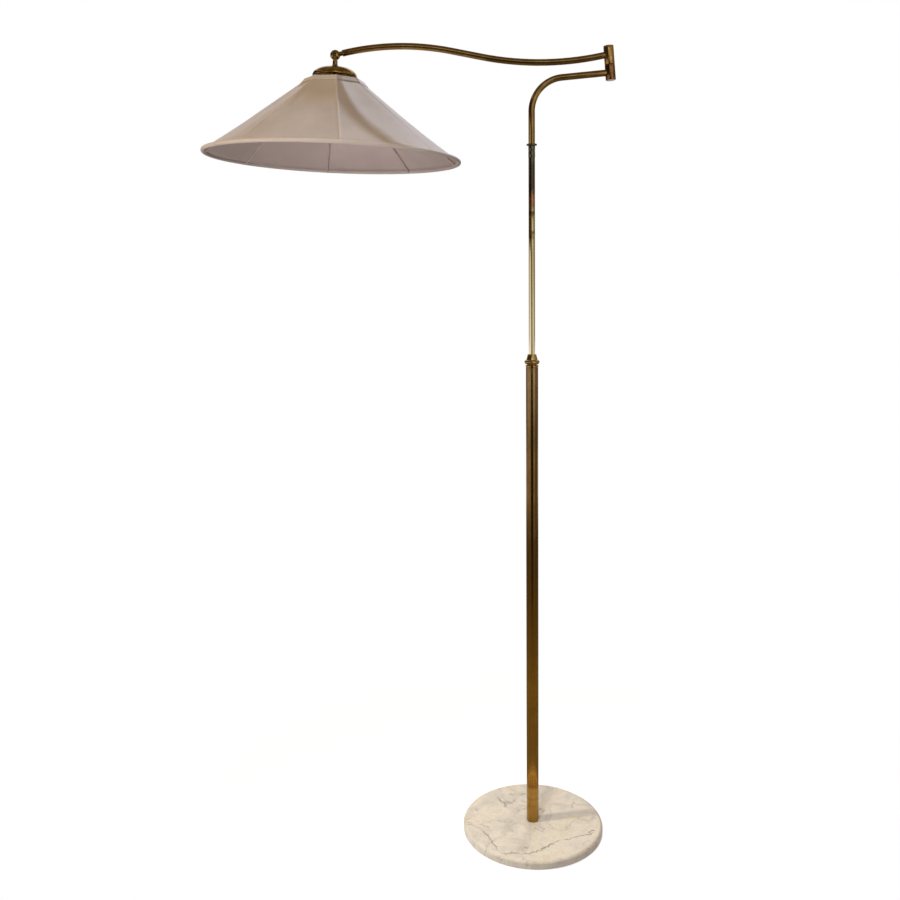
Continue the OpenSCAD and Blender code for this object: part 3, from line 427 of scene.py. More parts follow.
bead = arc(BEAD, BEAD_R, -BEAD_R, range(10, 171, 10))
bell = [
    (0.0116, 0.996), (0.0110, 0.9982), (0.0101, 1.0012), (0.0094, 1.0038), (0.0091, 1.0056), (0.0089, 1.0068),
]
inside = [(0.00685, 1.0068), (0.00685, 1.0038), (0.0095, 0.9955), (0.01006, 0.9955), (0.01006, 0.9866)]
bm = soften(turned(bead + bell + inside, 72), 0.0003)
piece("clamp_ring", bm, handled_brass, "clamp", "aged_brass", "clamp_nut")

# Inner tube
# A drawn brass tube, 13 mm across, kept bright by sliding in the clamp.
# Its top is dark with patina, and below that it is blotched and scuffed where it was handled.
INNER_R = 0.0065
INNER_BORE = 0.0055
INNER_FOOT = 0.8398
INNER_TOP = 1.3998

# Bright brass of the inner tube: polished metal with a dark band and rubbed marks at the top.
bright_brass, tree = new_finish("bright_brass_tube")
place = add(tree, "ShaderNodeTexCoord")
height = add(tree, "ShaderNodeSeparateXYZ", {"Vector": place.outputs["Object"]})
# Blotches of about 8 mm across and 16 mm long that shift the bands up and down
round_it = add(tree, "ShaderNodeMapping", {
    "Vector": place.outputs["Object"], "Scale": (1 / 0.008, 1 / 0.008, 1 / 0.016),
})
blotches = add(tree, "ShaderNodeTexNoise", {"Vector": round_it.outputs["Vector"], "Scale": 1.0, "Detail": 4})
shift = add(tree, "ShaderNodeMapRange", {"Value": blotches.outputs["Fac"], "To Min": -0.02, "To Max": 0.02})
level = add(tree, "ShaderNodeMath", {0: height.outputs["Z"], 1: shift.outputs[0]}, operation="ADD")
banded = add(tree, "ShaderNodeMapRange", {"Value": level.outputs[0], "From Min": 1.0, "From Max": 1.4})
bands = add(
    tree, "ShaderNodeValToRGB", {"Fac": banded.outputs[0]},
    [(0.0, "#e8d8b0"), (0.5, "#cdb888"), (0.6, "#c2aa78"), (0.625, "#6f5531"), (0.64, "#c6ae7c"),
     (0.7, "#bfa26a"), (0.73, "#5a4328"), (0.745, "#b39664"), (0.775, "#8a6a42"), (0.8, "#a5744c"),
     (0.83, "#4a3e30"), (0.96, "#4c4236"), (1.0, "#645c4a")],
)
# Drawing streaks 2.5 mm wide and 120 mm long
along = add(tree, "ShaderNodeMapping", {
    "Vector": place.outputs["Object"], "Scale": (1 / 0.0025, 1 / 0.0025, 1 / 0.12),
})
streaks = add(tree, "ShaderNodeTexNoise", {"Vector": along.outputs["Vector"], "Scale": 1.0, "Detail": 3})
shade = add(tree, "ShaderNodeMapRange", {
    "Value": streaks.outputs["Fac"], "From Min": 0.3, "From Max": 0.7, "To Min": 0.8, "To Max": 1.15,
})
metal = add(tree, "ShaderNodeVectorMath", {
    0: bands.outputs["Color"], "Scale": shade.outputs[0],
}, operation="SCALE")
polish = add(tree, "ShaderNodeMapRange", {
    "Value": banded.outputs[0], "From Min": 0.65, "From Max": 0.85, "To Min": 0.1, "To Max": 0.2,
})
surface = add(tree, "ShaderNodeBsdfPrincipled", {
    "Base Color": metal.outputs["Vector"], "Roughness": polish.outputs[0], "Metallic": 1.0,
})
add(tree, "ShaderNodeOutputMaterial", {"Surface": surface.outputs["BSDF"]})

wall = [(INNER_R, INNER_FOOT), (INNER_R, INNER_TOP), (INNER_BORE, INNER_TOP), (INNER_BORE, INNER_FOOT)]
piece("sliding_tube", soften(turned(wall, 64), 0.0003), bright_brass, "mast", "bright_brass", "inner_tube")

# Swivel
# A sleeve is soldered into the inner tube's top, and the elbow's post turns in it on a fibre washer.
# A screw at the back keeps the post in, and a thin ring covers the joint.
bm = turned([
    (0.00406, 1.3748), (0.00546, 1.3748), (0.00546, INNER_TOP), (0.0068, INNER_TOP), (0.0068, 1.4112),
    (0.0062, 1.4112), (0.0062, 1.4124), (0.0068, 1.4124), (0.0068, 1.4218), (0.00406, 1.4218),
], 64)
piece("swivel_sleeve", soften(bm, 0.00025), bright_brass, "mast", "bright_brass", "top_sleeve")
bm = turned([
    (0.002, 1.3823), (0.004, 1.3823), (0.004, 1.4223), (0.0105, 1.4223), (0.0105, 1.4258), (0.00546, 1.4258),
    (0.00546, 1.4458), (0.002, 1.4458),
], 64)
piece("swivel_ring", soften(bm, 0.0009), bright_brass, "lower_arm", "bright_brass", "swivel_post")
dress(turned_steel, "grub_screw")

# Vulcanised fibre: brown pressed board with short flecks in it.
# Flecks of about 1 mm
fibre_board, tree, _, brown = mottled("vulcanised_fibre", 0.001, 4, (0.35, "#3a2018"), (0.65, "#5a3426"))
surface = add(tree, "ShaderNodeBsdfPrincipled", {"Base Color": brown, "Roughness": 0.8})
add(tree, "ShaderNodeOutputMaterial", {"Surface": surface.outputs["BSDF"]})
dress(fibre_board, "swivel_washer", "knuckle_washer", "joint_washers")

# Elbow
# A drawn brass tube, 13 mm across, bent cold over a former and soldered into the lower knuckle.
# It carries the cord from the stem to the arm.
ARM_R = 0.0065
BEND_STEP = 1.5
ELBOW_FOOT = 1.4258

# Aged brass of the arms: drawn metal, golden brown, with dull streaks along the tube.
arm_brass, tree = new_finish("aged_brass_arm")
place = add(tree, "ShaderNodeAttribute", attribute_name="drawn_place")
# Streaks 3 mm wide and 90 mm long
along = add(tree, "ShaderNodeMapping", {
    "Vector": place.outputs["Vector"], "Scale": (1 / 0.09, 1 / 0.003, 1 / 0.003),
})
streaks = add(tree, "ShaderNodeTexNoise", {"Vector": along.outputs["Vector"], "Scale": 1.0, "Detail": 2})
# Stains of about 25 mm
stains = add(tree, "ShaderNodeTexNoise", {"Vector": place.outputs["Vector"], "Scale": 1 / 0.025, "Detail": 3})
wear = add(tree, "ShaderNodeMath", {
    0: streaks.outputs["Fac"], 1: stains.outputs["Fac"],
}, operation="MULTIPLY")
aged = add(
    tree, "ShaderNodeValToRGB", {"Fac": wear.outputs[0]},
    [(0.12, "#795a2f"), (0.25, "#8d6d3d"), (0.4, "#a18350")],
)
polish = add(tree, "ShaderNodeMapRange", {
    "Value": wear.outputs[0], "From Min": 0.12, "From Max": 0.4, "To Min": 0.24, "To Max": 0.12,
})
surface = add(tree, "ShaderNodeBsdfPrincipled", {
    "Base Color": aged.outputs["Color"], "Roughness": polish.outputs[0], "Metallic": 1.0,
})
add(tree, "ShaderNodeOutputMaterial", {"Surface": surface.outputs["BSDF"]})


def drawn_tube(start, moves, radius):
    """A tube from start, along its Z, through straights and bends; a bend turns about local Y.

    Each point keeps its length along the tube and its place across it, for the streaks."""
    bm = bmesh.new()
    drawn = bm.verts.layers.float_vector.new("drawn_place")
    here, length = start, 0.0
    ring = bmesh.ops.create_circle(bm, segments=40, radius=radius, matrix=here)["verts"]
    ends = [list(ring)]
    steps = []
    for straight, bend_r, angle in moves:
        if straight:
            steps.append((straight, None, 0.0))
        count = round(abs(angle) / BEND_STEP)
        steps += [(0.0, bend_r, angle / count) for _ in range(count)]
    for v in ring:
        v[drawn] = (0.0, *(here.inverted() @ v.co)[:2])
    for straight, bend_r, angle in steps:
        lines = [e for e in bm.edges if all(v in ring for v in e.verts)]
        made = bmesh.ops.extrude_edge_only(bm, edges=lines)["geom"]
        ring = [g for g in made if isinstance(g, bmesh.types.BMVert)]
        if bend_r is None:
            move = Matrix.Translation((0, 0, straight))
            length += straight
        else:
            centre = Matrix.Translation((math.copysign(bend_r, angle), 0, 0))
            move = centre @ Matrix.Rotation(math.radians(angle), 4, "Y") @ centre.inverted()
            length += bend_r * math.radians(abs(angle))
        bmesh.ops.transform(bm, matrix=here @ move @ here.inverted(), verts=ring)
        here = here @ move
        for v in ring:
            v[drawn] = (length, *(here.inverted() @ v.co)[:2])
    ends.append(ring)
    for end in ends:
        bmesh.ops.contextual_create(bm, geom=[e for e in bm.edges if all(v in end for v in e.verts)])
    bmesh.ops.recalc_face_normals(bm, faces=bm.faces)
    return bm


# Each move is a straight, the radius of the bend after it and that bend's angle
bm = drawn_tube(Matrix.Translation((0, 0, ELBOW_FOOT)), [(0.0635, 0.065, 85.5), (0.0885, 0, 0)], ARM_R)
piece("elbow", soften(bm, 0.0003), arm_brass, "lower_arm", "aged_brass", "elbow_tube")

# Knuckle
# Two turned brass barrels on one steel pin, with a friction washer between them.
# The elbow is soldered into the lower one and the swing arm into the upper one, under a pressed cap.
# The lower one has gone browner than the upper one.
BARREL_R = 0.010
browner_brass = lathe_brass("browned_brass_turned", "#674626", "#7a552f", "#8e6a41")
golden_brass = lathe_brass("golden_brass_turned", "#8e6b3c", "#a67f49", "#c29d64")
KNUCKLE = Matrix.Translation((0.154109, 0, 1.561514)) @ Matrix.Rotation(math.radians(-4.5), 4, "Y")


def barrel(profile):
    """A turned barrel stood on the knuckle's axis."""
    bm = soften(turned(profile, 64), 0.0007)
    bmesh.ops.transform(bm, matrix=KNUCKLE, verts=bm.verts)
    return bm


bm = barrel([
    (BARREL_R, -0.015), (BARREL_R, 0.015), (0.00404, 0.015), (0.00404, -0.012), (0.00704, -0.012),
    (0.00704, -0.015),
])
piece("lower_barrel", bm, browner_brass, "lower_arm", "aged_brass", "lower_knuckle")
dress(turned_steel, "knuckle_pin", "pin_washer", "pin_nut")
bm = barrel([
    (BARREL_R, 0.0154), (BARREL_R, 0.0491), (0.007, 0.0491), (0.007, 0.043), (0.00406, 0.043),
    (0.00406, 0.0154),
])
piece("upper_barrel", bm, golden_brass, "upper_arm", "aged_brass", "upper_knuckle")
bm = barrel([
    (0, 0.0473), (0.0069, 0.0473), (0.0069, 0.0491), (BARREL_R, 0.0491), (BARREL_R, 0.0515), (0, 0.0515),
])
piece("barrel_cap", bm, golden_brass, "upper_arm", "aged_brass", "knuckle_cap")

# Swing arm
# A drawn brass tube, 13 mm across, in a long S, soldered into the upper barrel.
# The bend at the knuckle is wider than the one at the ball, and both turn by the same angle.
root = Matrix.Translation((0.151339, 0, 1.596705)) @ Matrix.Rotation(math.radians(-102), 4, "Y")
bm = drawn_tube(root, [(0, 0.60, 24), (0.062, 0.52, -24)], ARM_R)
piece("arm", soften(bm, 0.0004), arm_brass, "upper_arm", "aged_brass", "swing_arm")

# Ball joint
# A slotted brass ball on a neck is plugged into the end of the arm.
# The head's tongue sits in the slot between fibre washers, held by a slotted screw.
BALL_R = 0.01025
BALL = Vector((-0.3897, 0, 1.606477))
TIP = Vector((-0.375028, 0, 1.609596))
HEAD = Matrix.Translation(BALL) @ Matrix.Rotation(math.radians(2.5), 4, "Y")


def on_head(bm):
    """Moves a shape from the head's own frame, with the ball's centre at its origin, into place."""
    bmesh.ops.transform(bm, matrix=HEAD, verts=bm.verts)
    return bm


bm = bmesh.new()
bmesh.ops.create_uvsphere(bm, u_segments=64, v_segments=40, radius=BALL_R)
slot = bmesh.new()
bmesh.ops.create_cube(slot, size=1.0)
bmesh.ops.scale(slot, vec=(0.0066, 0.04, 0.03), verts=slot.verts)
bmesh.ops.translate(slot, vec=(0, 0, 0.00595 - 0.015), verts=slot.verts)
hole = rod(bmesh.new(), (-0.02, 0, 0), (-0.00705, 0, 0), 0.00354)
bm = on_head(soften(cut(bm, slot, hole), 0.0003, 2))
outward = (TIP - BALL).normalized()
rod(bm, TIP + outward * 0.004, BALL + outward * 0.0085, 0.0045, 48)
piece("ball", bm, turned_brass, "upper_arm", "aged_brass", "joint_ball")
dress(turned_steel, "pivot_screw")

bm = turned([
    (0, -0.0106), (0.005, -0.0106), (0.005, -0.0171), (0.0056, -0.0196), (0.0066, -0.0220), (0.0075, -0.0236),
    (0, -0.0236),
], 64)
soften(bm, 0.0003)
bmesh.ops.create_cone(
    bm, cap_ends=True, segments=48, radius1=0.0056, radius2=0.0056, depth=0.0054,
    matrix=Matrix.Rotation(math.radians(90), 4, "Y"),
)
shank = bmesh.ops.create_cube(bm, size=1.0)["verts"]
bmesh.ops.scale(bm, vec=(0.0054, 0.010, 0.0116), verts=shank)
bmesh.ops.translate(bm, vec=(0, 0, -0.0058), verts=shank)
piece("neck", on_head(bm), turned_brass, "head", "aged_brass", "joint_tongue")

# Dome
# A cap spun from 1 mm brass sheet with a rolled edge, clamped under the neck by a nut.
# It hides the top of the shade's frame.
DOME_SHEET = 0.001
DOME_EDGE = -0.0411
ROLL_R = 0.0025
# Below this height in the head's frame the dome carries painted shade
PAINTED_SHADE_BELOW = -0.0418

# Spun brass: thin sheet under a warm brown lacquer, stained in patches and brighter between them, with
# painted shade under the rolled edge.
# Stains of about 14 mm
spun_brass, tree, stains, aged = mottled(
    "aged_brass_spun", 0.014, 3, (0.3, "#735224"), (0.5, "#9a7437"), (0.72, "#c09a54"),
)
# The rolled edge's underside is painted almost black: painted shade of the gap under the dome
painted_shade = add(tree, "ShaderNodeAttribute", attribute_name="painted_shade")
edge_in_painted_shade = add(tree, "ShaderNodeMix", {
    "Factor": painted_shade.outputs["Fac"], "A": aged, "B": linear("#170f08"),
}, data_type="RGBA")
polish = add(tree, "ShaderNodeMapRange", {
    "Value": stains, "From Min": 0.3, "From Max": 0.7, "To Min": 0.24, "To Max": 0.12,
})
surface = add(tree, "ShaderNodeBsdfPrincipled", {
    "Base Color": edge_in_painted_shade.outputs["Result"], "Roughness": polish.outputs[0], "Metallic": 1.0,
})
add(tree, "ShaderNodeOutputMaterial", {"Surface": surface.outputs["BSDF"]})


def dome_side(inset):
    """The dome's profile from the crown to the rolled edge, drawn in by an inset."""
    crown = arc((0.00785, DOME_EDGE), 0.03665 - inset, 0.0175 - inset, range(0, 91, 5))
    return crown + arc((0.0420, DOME_EDGE), ROLL_R - inset, ROLL_R - inset, range(105, 211, 15))


bm = turned([(0.00404, -0.0236)] + dome_side(0) + dome_side(DOME_SHEET)[::-1] + [(0.00404, -0.0246)], 96)
soften(bm, 0.0002, 2)
# The painted shade goes on the rolled edge's underside
painted_shade_layer = bm.verts.layers.float.new("painted_shade")
for v in bm.verts:
    v[painted_shade_layer] = 1.0 if v.co.z < PAINTED_SHADE_BELOW else 0.0
piece("dome", on_head(bm), spun_brass, "head", "aged_brass", "dome_cap")
dress(turned_steel, "dome_washer", "nipple", "nipple_nuts")

# Wire frame of the shade
# An eight-sided ring at the top, eight ribs and a round ring in the rim, welded from painted steel wire.
# A flat hub with four spokes hangs it from the nipple under the dome.
SIDES = 8
SEAM = math.radians(13)
PANEL = math.tau / SIDES
TOP_RING = (0.053975, -0.054768)
RIB_FOOT = (0.251975, -0.205068)
WIRE_R = 0.0018

# Painted wire: cream paint, a little yellowed in places.
# Yellowing over about 15 mm
painted_wire, tree, _, paint = mottled("painted_steel_wire", 0.015, 4, (0.35, "#cbbdb6"), (0.65, "#d6c9c2"))
surface = add(tree, "ShaderNodeBsdfPrincipled", {"Base Color": paint, "Roughness": 0.55})
add(tree, "ShaderNodeOutputMaterial", {"Surface": surface.outputs["BSDF"]})
dress(painted_wire, "shade_rim_ring")


def corner(place, side):
    """A radius and height in the plane of one of the frame's ribs, as a point."""
    turn = SEAM + side * PANEL
    return Vector((place[0] * math.cos(turn), place[0] * math.sin(turn), place[1]))


bm = bmesh.new()
for side in range(SIDES):
    rod(bm, corner(TOP_RING, side), corner(TOP_RING, side + 1), WIRE_R, 16)
    # A bead of weld where two wires meet
    bmesh.ops.create_uvsphere(
        bm, u_segments=16, v_segments=12, radius=0.00215, matrix=Matrix.Translation(corner(TOP_RING, side)),
    )
piece("top_wires", on_head(bm), painted_wire, "head", "frame_wire", "shade_top_ring")

bm = bmesh.new()
for side in range(SIDES):
    top = corner(TOP_RING, side)
    foot = corner(RIB_FOOT, side)
    lead = (foot - top).normalized() * 0.0022
    rod(bm, top + lead, foot - lead, WIRE_R, 16)
piece("rib_wires", on_head(bm), painted_wire, "head", "frame_wire", "shade_ribs")

bm = turned([(0.00404, -0.055768), (0.014, -0.055768), (0.014, -0.053768), (0.00404, -0.053768)], 48)
soften(bm, 0.0003)
for side in range(0, SIDES, 2):
    rod(bm, corner((0.012, TOP_RING[1]), side), corner((0.0513, TOP_RING[1]), side), 0.0013, 16)
piece("spider", on_head(bm), painted_wire, "head", "frame_wire", "shade_spider")

# Cloth cover
# Eight panels of cotton, sewn together along the ribs and stretched over the frame.
# The panels are drawn in a little between the ribs, and each seam stands up as a narrow ridge.
SHADE_TOP = (0.056, -0.0521)
SHADE_RIM = (0.254, -0.2024)
SLANT = math.hypot(SHADE_RIM[0] - SHADE_TOP[0], SHADE_TOP[1] - SHADE_RIM[1])
RISE = (SHADE_RIM[0] - SHADE_TOP[0]) / SLANT
LEAN = (SHADE_TOP[1] - SHADE_RIM[1]) / SLANT
SAG = 0.007
# The panels end at this share of the slope, under the piping
PANEL_END = 0.983
# How far apart the panels lie on the cloth that they are cut from
CUT_APART = 0.4


def woven(name, dark, light):
    """Cotton cloth: plain weave, dull, soiled between two colours, with a faint sheen off its fibres."""
    cotton, tree = new_finish(name)
    place = add(tree, "ShaderNodeUVMap", uv_map="cloth")
    parts = add(tree, "ShaderNodeSeparateXYZ", {"Vector": place.outputs["UV"]})
    # Threads 0.5 mm apart, drawn 2.5 mm apart so that they show
    threads = []
    for way in "XY":
        across = add(tree, "ShaderNodeMath", {
            0: parts.outputs[way], 1: math.tau / 0.0025,
        }, operation="MULTIPLY")
        threads.append(add(tree, "ShaderNodeMath", {0: across.outputs[0]}, operation="SINE").outputs[0])
    weave = add(tree, "ShaderNodeMath", {0: threads[0], 1: threads[1]}, operation="MULTIPLY")
    # Slubs 3 mm wide and 25 mm long
    drawn_out = add(tree, "ShaderNodeMapping", {
        "Vector": place.outputs["UV"], "Scale": (1 / 0.003, 1 / 0.025, 1),
    })
    slubs = add(tree, "ShaderNodeTexNoise", {
        "Vector": drawn_out.outputs["Vector"], "Scale": 1.0, "Detail": 3,
    })
    # Soiling over about 70 mm
    soiling = add(tree, "ShaderNodeTexNoise", {"Vector": place.outputs["UV"], "Scale": 1 / 0.07, "Detail": 4})
    mottle = add(tree, "ShaderNodeMath", {
        0: slubs.outputs["Fac"], 1: 0.3, 2: soiling.outputs["Fac"],
    }, operation="MULTIPLY_ADD")
    tint = add(tree, "ShaderNodeValToRGB", {"Fac": mottle.outputs[0]}, [(0.4, dark), (0.85, light)])
    # The seams' raised edges are paler than the cloth
    raised = add(tree, "ShaderNodeAttribute", attribute_name="raised")
    paler = add(tree, "ShaderNodeMath", {0: raised.outputs["Fac"], 1: 0.6}, operation="MULTIPLY")
    paler_ridges = add(tree, "ShaderNodeMix", {
        "Factor": paler.outputs[0], "A": tint.outputs["Color"], "B": linear("#e6ddd3"),
    }, data_type="RGBA")
    relief = add(tree, "ShaderNodeMath", {
        0: weave.outputs[0], 1: 0.25, 2: slubs.outputs["Fac"],
    }, operation="MULTIPLY_ADD")
    cloth = add(tree, "ShaderNodeBump", {"Height": relief.outputs[0], "Strength": 0.25, "Distance": 0.0006})
    surface = add(tree, "ShaderNodeBsdfPrincipled", {
        "Base Color": paler_ridges.outputs["Result"], "Normal": cloth.outputs["Normal"],
        "Roughness": 0.9, "Sheen Weight": 0.15, "Sheen Roughness": 0.5,
    })
    add(tree, "ShaderNodeOutputMaterial", {"Surface": surface.outputs["BSDF"]})
    return cotton


# Ivory cotton gone greyish outside, and a paler, pinker lining inside, partly painted bounce light from below
cover_cotton = woven("plain_woven_cotton", "#c5b7aa", "#d2c6ba")
lining_painted_bounce = woven("woven_cotton_lining_painted_bounce", "#d0c3c0", "#dacecb")

# Columns of a panel: metres from the left seam, share of the way across, metres from the right seam
NEAR = (0.0, 0.0011, 0.0023, 0.006)
RIDGE = {0.0: 0.0009, 0.0011: 0.0007, 0.0023: 0.0001, 0.006: 0.0}
COLUMNS = [(d, None) for d in NEAR]
COLUMNS += [(None, i / 13) for i in range(1, 13)]
COLUMNS += [(-d, None) for d in NEAR[:0:-1]]


def cloth_band(rows, ridge):
    """A band of the panels through rows, each a share of the way down and a height off the frame."""
    bm = bmesh.new()
    count = len(COLUMNS) * SIDES
    bmesh.ops.create_grid(bm, x_segments=count, y_segments=len(rows) - 1, size=0.5)
    flat = bm.loops.layers.uv.new("cloth")
    raised = bm.verts.layers.float.new("raised")
    spots = {v: (round((v.co.x + 0.5) * count), round((v.co.y + 0.5) * (len(rows) - 1))) for v in bm.verts}

    def spot(column, row, panel):
        """Angle from the panel's left seam, height of the ridge, and share of the way down."""
        t = rows[row][0]
        radius = (1 - t) * SHADE_TOP[0] + t * SHADE_RIM[0]
        step = column - panel * len(COLUMNS)
        metres, share = COLUMNS[step % len(COLUMNS)]
        if step == len(COLUMNS):
            return PANEL, RIDGE[0.0] * ridge, t
        if metres is None:
            low = NEAR[-1] / radius
            return low + share * (PANEL - 2 * low), 0.0, t
        return (metres / radius) % PANEL, RIDGE[abs(metres)] * ridge, t

    for face in bm.faces:
        panel = min(spots[v][0] for v in face.verts) // len(COLUMNS)
        for loop in face.loops:
            angle, _, t = spot(*spots[loop.vert], panel)
            radius = (1 - t) * SHADE_TOP[0] + t * SHADE_RIM[0]
            height = rows[spots[loop.vert][1]][1]
            loop[flat].uv = ((angle - PANEL / 2) * radius + panel * CUT_APART, t * SLANT - height)
    for v, (column, row) in spots.items():
        panel = min(column // len(COLUMNS), SIDES - 1)
        angle, lift, t = spot(column, row, panel)
        inner = angle - PANEL / 2
        top = SHADE_TOP[0] * math.cos(PANEL / 2) / math.cos(inner)
        sag = SAG * math.sin(math.pi * max(t, 0)) * math.cos(math.pi * inner / PANEL) ** 2
        radius = (1 - t) * top + t * SHADE_RIM[0] - sag
        turn = SEAM + panel * PANEL + angle
        v[raised] = lift / RIDGE[0.0]
        lift += rows[row][1]
        v.co = (
            (radius + lift * LEAN) * math.cos(turn), (radius + lift * LEAN) * math.sin(turn),
            SHADE_TOP[1] - t * (SHADE_TOP[1] - SHADE_RIM[1]) + lift * RISE,
        )
    bmesh.ops.remove_doubles(bm, verts=bm.verts, dist=1e-6)
    bmesh.ops.recalc_face_normals(bm, faces=bm.faces)
    if sum(f.normal.z * f.calc_area() for f in bm.faces) < 0:
        bmesh.ops.reverse_faces(bm, faces=bm.faces)
    return bm


def sewn(name, bm, coat, thickness, *nodes):
    """A cloth piece of the head, with its thickness on the inner side and the lining's colour there, partly
    painted bounce light.
    """
    made = piece(name, on_head(bm), coat, "head", "shade_cloth", *nodes)
    made.data.materials.append(lining_painted_bounce)
    wall = made.modifiers.new("thickness", "SOLIDIFY")
    wall.thickness = thickness
    wall.offset = -1
    wall.material_offset = 1
    return made


panels_down = [(PANEL_END * i / 28, 0.0) for i in range(29)]
cover = sewn("cloth_cover", cloth_band(panels_down, 1.0), cover_cotton, 0.0009, "shade_cover")

# Tape
# A straight band of paler cotton, folded over the raw ends of the panels and sewn round the top.
# The fold over the wire stands proud of the panels, and the lower edge lies flat on them.
trim_cotton = woven("cotton_trimming", "#d0c6bf", "#dbd2cc")
folded = [
    (0.0560, 0.0007), (0.0400, 0.0016), (0.0200, 0.0026), (0.0070, 0.0035), (0.0020, 0.0037),
    (0.0000, 0.0033), (-0.0008, 0.0024), (0.0000, 0.0013), (0.0030, 0.0006),
]
tape = sewn("top_tape", cloth_band(folded, 0.6), trim_cotton, 0.0005, "shade_tape")

# Piping
# A bias strip of pale cotton, wrapped round the rim's wire over a soft filler and sewn shut.
# It covers the lower ends of the panels.
PIPING_R = 0.004
piping_cotton = woven("cotton_piping", "#dad1ca", "#e5ddd7")


def nearest(angle, other):
    """The same angle, within half a turn of another one."""
    return other + (angle - other + math.pi) % math.tau - math.pi


bm = bmesh.new()
flat = bm.loops.layers.uv.new("cloth")
bmesh.ops.create_circle(
    bm, segments=16, radius=PIPING_R,
    matrix=Matrix.Translation((SHADE_RIM[0], 0, SHADE_RIM[1])) @ Matrix.Rotation(math.radians(90), 4, "X"),
)
bmesh.ops.spin(
    bm, geom=bm.verts[:] + bm.edges[:], cent=(0, 0, 0), axis=(0, 0, 1),
    angle=math.tau, steps=200, use_merge=True,
)
bmesh.ops.recalc_face_normals(bm, faces=bm.faces)
for face in bm.faces:
    middle = face.calc_center_median()
    for loop in face.loops:
        x, y, z = loop.vert.co
        turn = nearest(math.atan2(y, x), math.atan2(middle.y, middle.x))
        roll = nearest(
            math.atan2(z - SHADE_RIM[1], math.hypot(x, y) - SHADE_RIM[0]),
            math.atan2(middle.z - SHADE_RIM[1], math.hypot(middle.x, middle.y) - SHADE_RIM[0]),
        )
        loop[flat].uv = (turn * SHADE_RIM[0], roll * PIPING_R + turn * SHADE_RIM[0])
piping = piece("rim_binding", on_head(bm), piping_cotton, "head", "shade_cloth", "rim_piping")

# Lampholder
# A pressed brass cap and shell screwed together round a porcelain insert with its contacts.
# It hangs on the nipple's lower end.
HOLDER = -0.060768
bm = turned([
    (0.00404, HOLDER + 0.005), (0.007, HOLDER + 0.005), (0.007, HOLDER), (0.016, HOLDER),
    (0.018, HOLDER - 0.002), (0.018, HOLDER - 0.018), (0.017, HOLDER - 0.018), (0.017, HOLDER - 0.001),
    (0.00404, HOLDER - 0.001),
], 72)
piece("holder_top", on_head(soften(bm, 0.0006)), spun_brass, "head", "aged_brass", "holder_cap")
grooves = []
for i in range(6):
    z = HOLDER - 0.0195 - 0.0035 * i
    grooves += [(0.01696, z), (0.01696, z - 0.0020), (0.01646, z - 0.00275)]
bm = turned([(0.01696, HOLDER - 0.012)] + grooves + [
    (0.01696, HOLDER - 0.044), (0.01596, HOLDER - 0.044), (0.01596, HOLDER - 0.012),
], 72)
piece("holder_sleeve", on_head(soften(bm, 0.0002, 2)), spun_brass, "head", "aged_brass", "holder_shell")
dress(spun_brass, "screw_shell", "centre_contact")

# Glazed porcelain: white, with a hard shine.
# Clouds in the glaze of about 6 mm
porcelain, tree, _, white = mottled("glazed_porcelain", 0.006, 2, (0.3, "#e2dfd6"), (0.7, "#efece4"))
surface = add(tree, "ShaderNodeBsdfPrincipled", {"Base Color": white, "Roughness": 0.15, "IOR": 1.5})
add(tree, "ShaderNodeOutputMaterial", {"Surface": surface.outputs["BSDF"]})
dress(porcelain, "holder_insert")

# Switch key
# A moulded plastic paddle on a spindle through the side of the holder's cap.
# A finger turns it by a quarter to switch the lamp.
KEY = HOLDER - 0.0055
bm = bmesh.new()
bmesh.ops.create_cube(bm, size=1.0)
bmesh.ops.scale(bm, vec=(0.009, 0.014, 0.003), verts=bm.verts)
bmesh.ops.translate(bm, vec=(0.0305, 0, KEY), verts=bm.verts)
soften(bm, 0.0010)
rod(bm, (0.009, 0, KEY), (0.0265, 0, KEY), 0.002, 32)
piece("key", on_head(bm), black_plastic, "key", "black_plastic", "switch_key")

# Bulb
# A frosted glass globe, blown and cemented into a pressed screw cap.
# The cap's rolled thread, drawn as plain ridges, holds it in the lampholder.
GLOBE = HOLDER - 0.071
GLOBE_R = 0.0225
GLOBE_BORE = 0.0217
ridges = []
for i in range(5):
    z = HOLDER - 0.029 - 0.0036 * i
    ridges += [(0.01256, z), (0.01306, z - 0.0009), (0.01306, z - 0.0018), (0.01256, z - 0.0027)]
bm = turned([(0, HOLDER - 0.0255), (0.006, HOLDER - 0.0255), (0.0118, HOLDER - 0.0277)] + ridges + [
    (0.01306, HOLDER - 0.049), (0.01306, HOLDER - 0.0505), (0.01256, HOLDER - 0.0505),
    (0.01206, HOLDER - 0.028), (0, HOLDER - 0.028),
], 64)
piece("bulb_thread", on_head(soften(bm, 0.0002, 2)), turned_steel, "head", "steel", "bulb_cap")

# Frosted glass: milky, with a soft shine.
frosted_glass, tree = new_finish("frosted_glass")
place = add(tree, "ShaderNodeTexCoord")
# Frosting grain of about 0.5 mm, drawn at 1 mm so that it shows
frost = add(tree, "ShaderNodeTexNoise", {"Vector": place.outputs["Object"], "Scale": 1 / 0.001, "Detail": 2})
dull = add(tree, "ShaderNodeMapRange", {"Value": frost.outputs["Fac"], "To Min": 0.3, "To Max": 0.5})
surface = add(tree, "ShaderNodeBsdfPrincipled", {
    "Base Color": linear("#f1eee6"), "Roughness": dull.outputs[0], "IOR": 1.5, "Transmission Weight": 0.35,
})
add(tree, "ShaderNodeOutputMaterial", {"Surface": surface.outputs["BSDF"]})
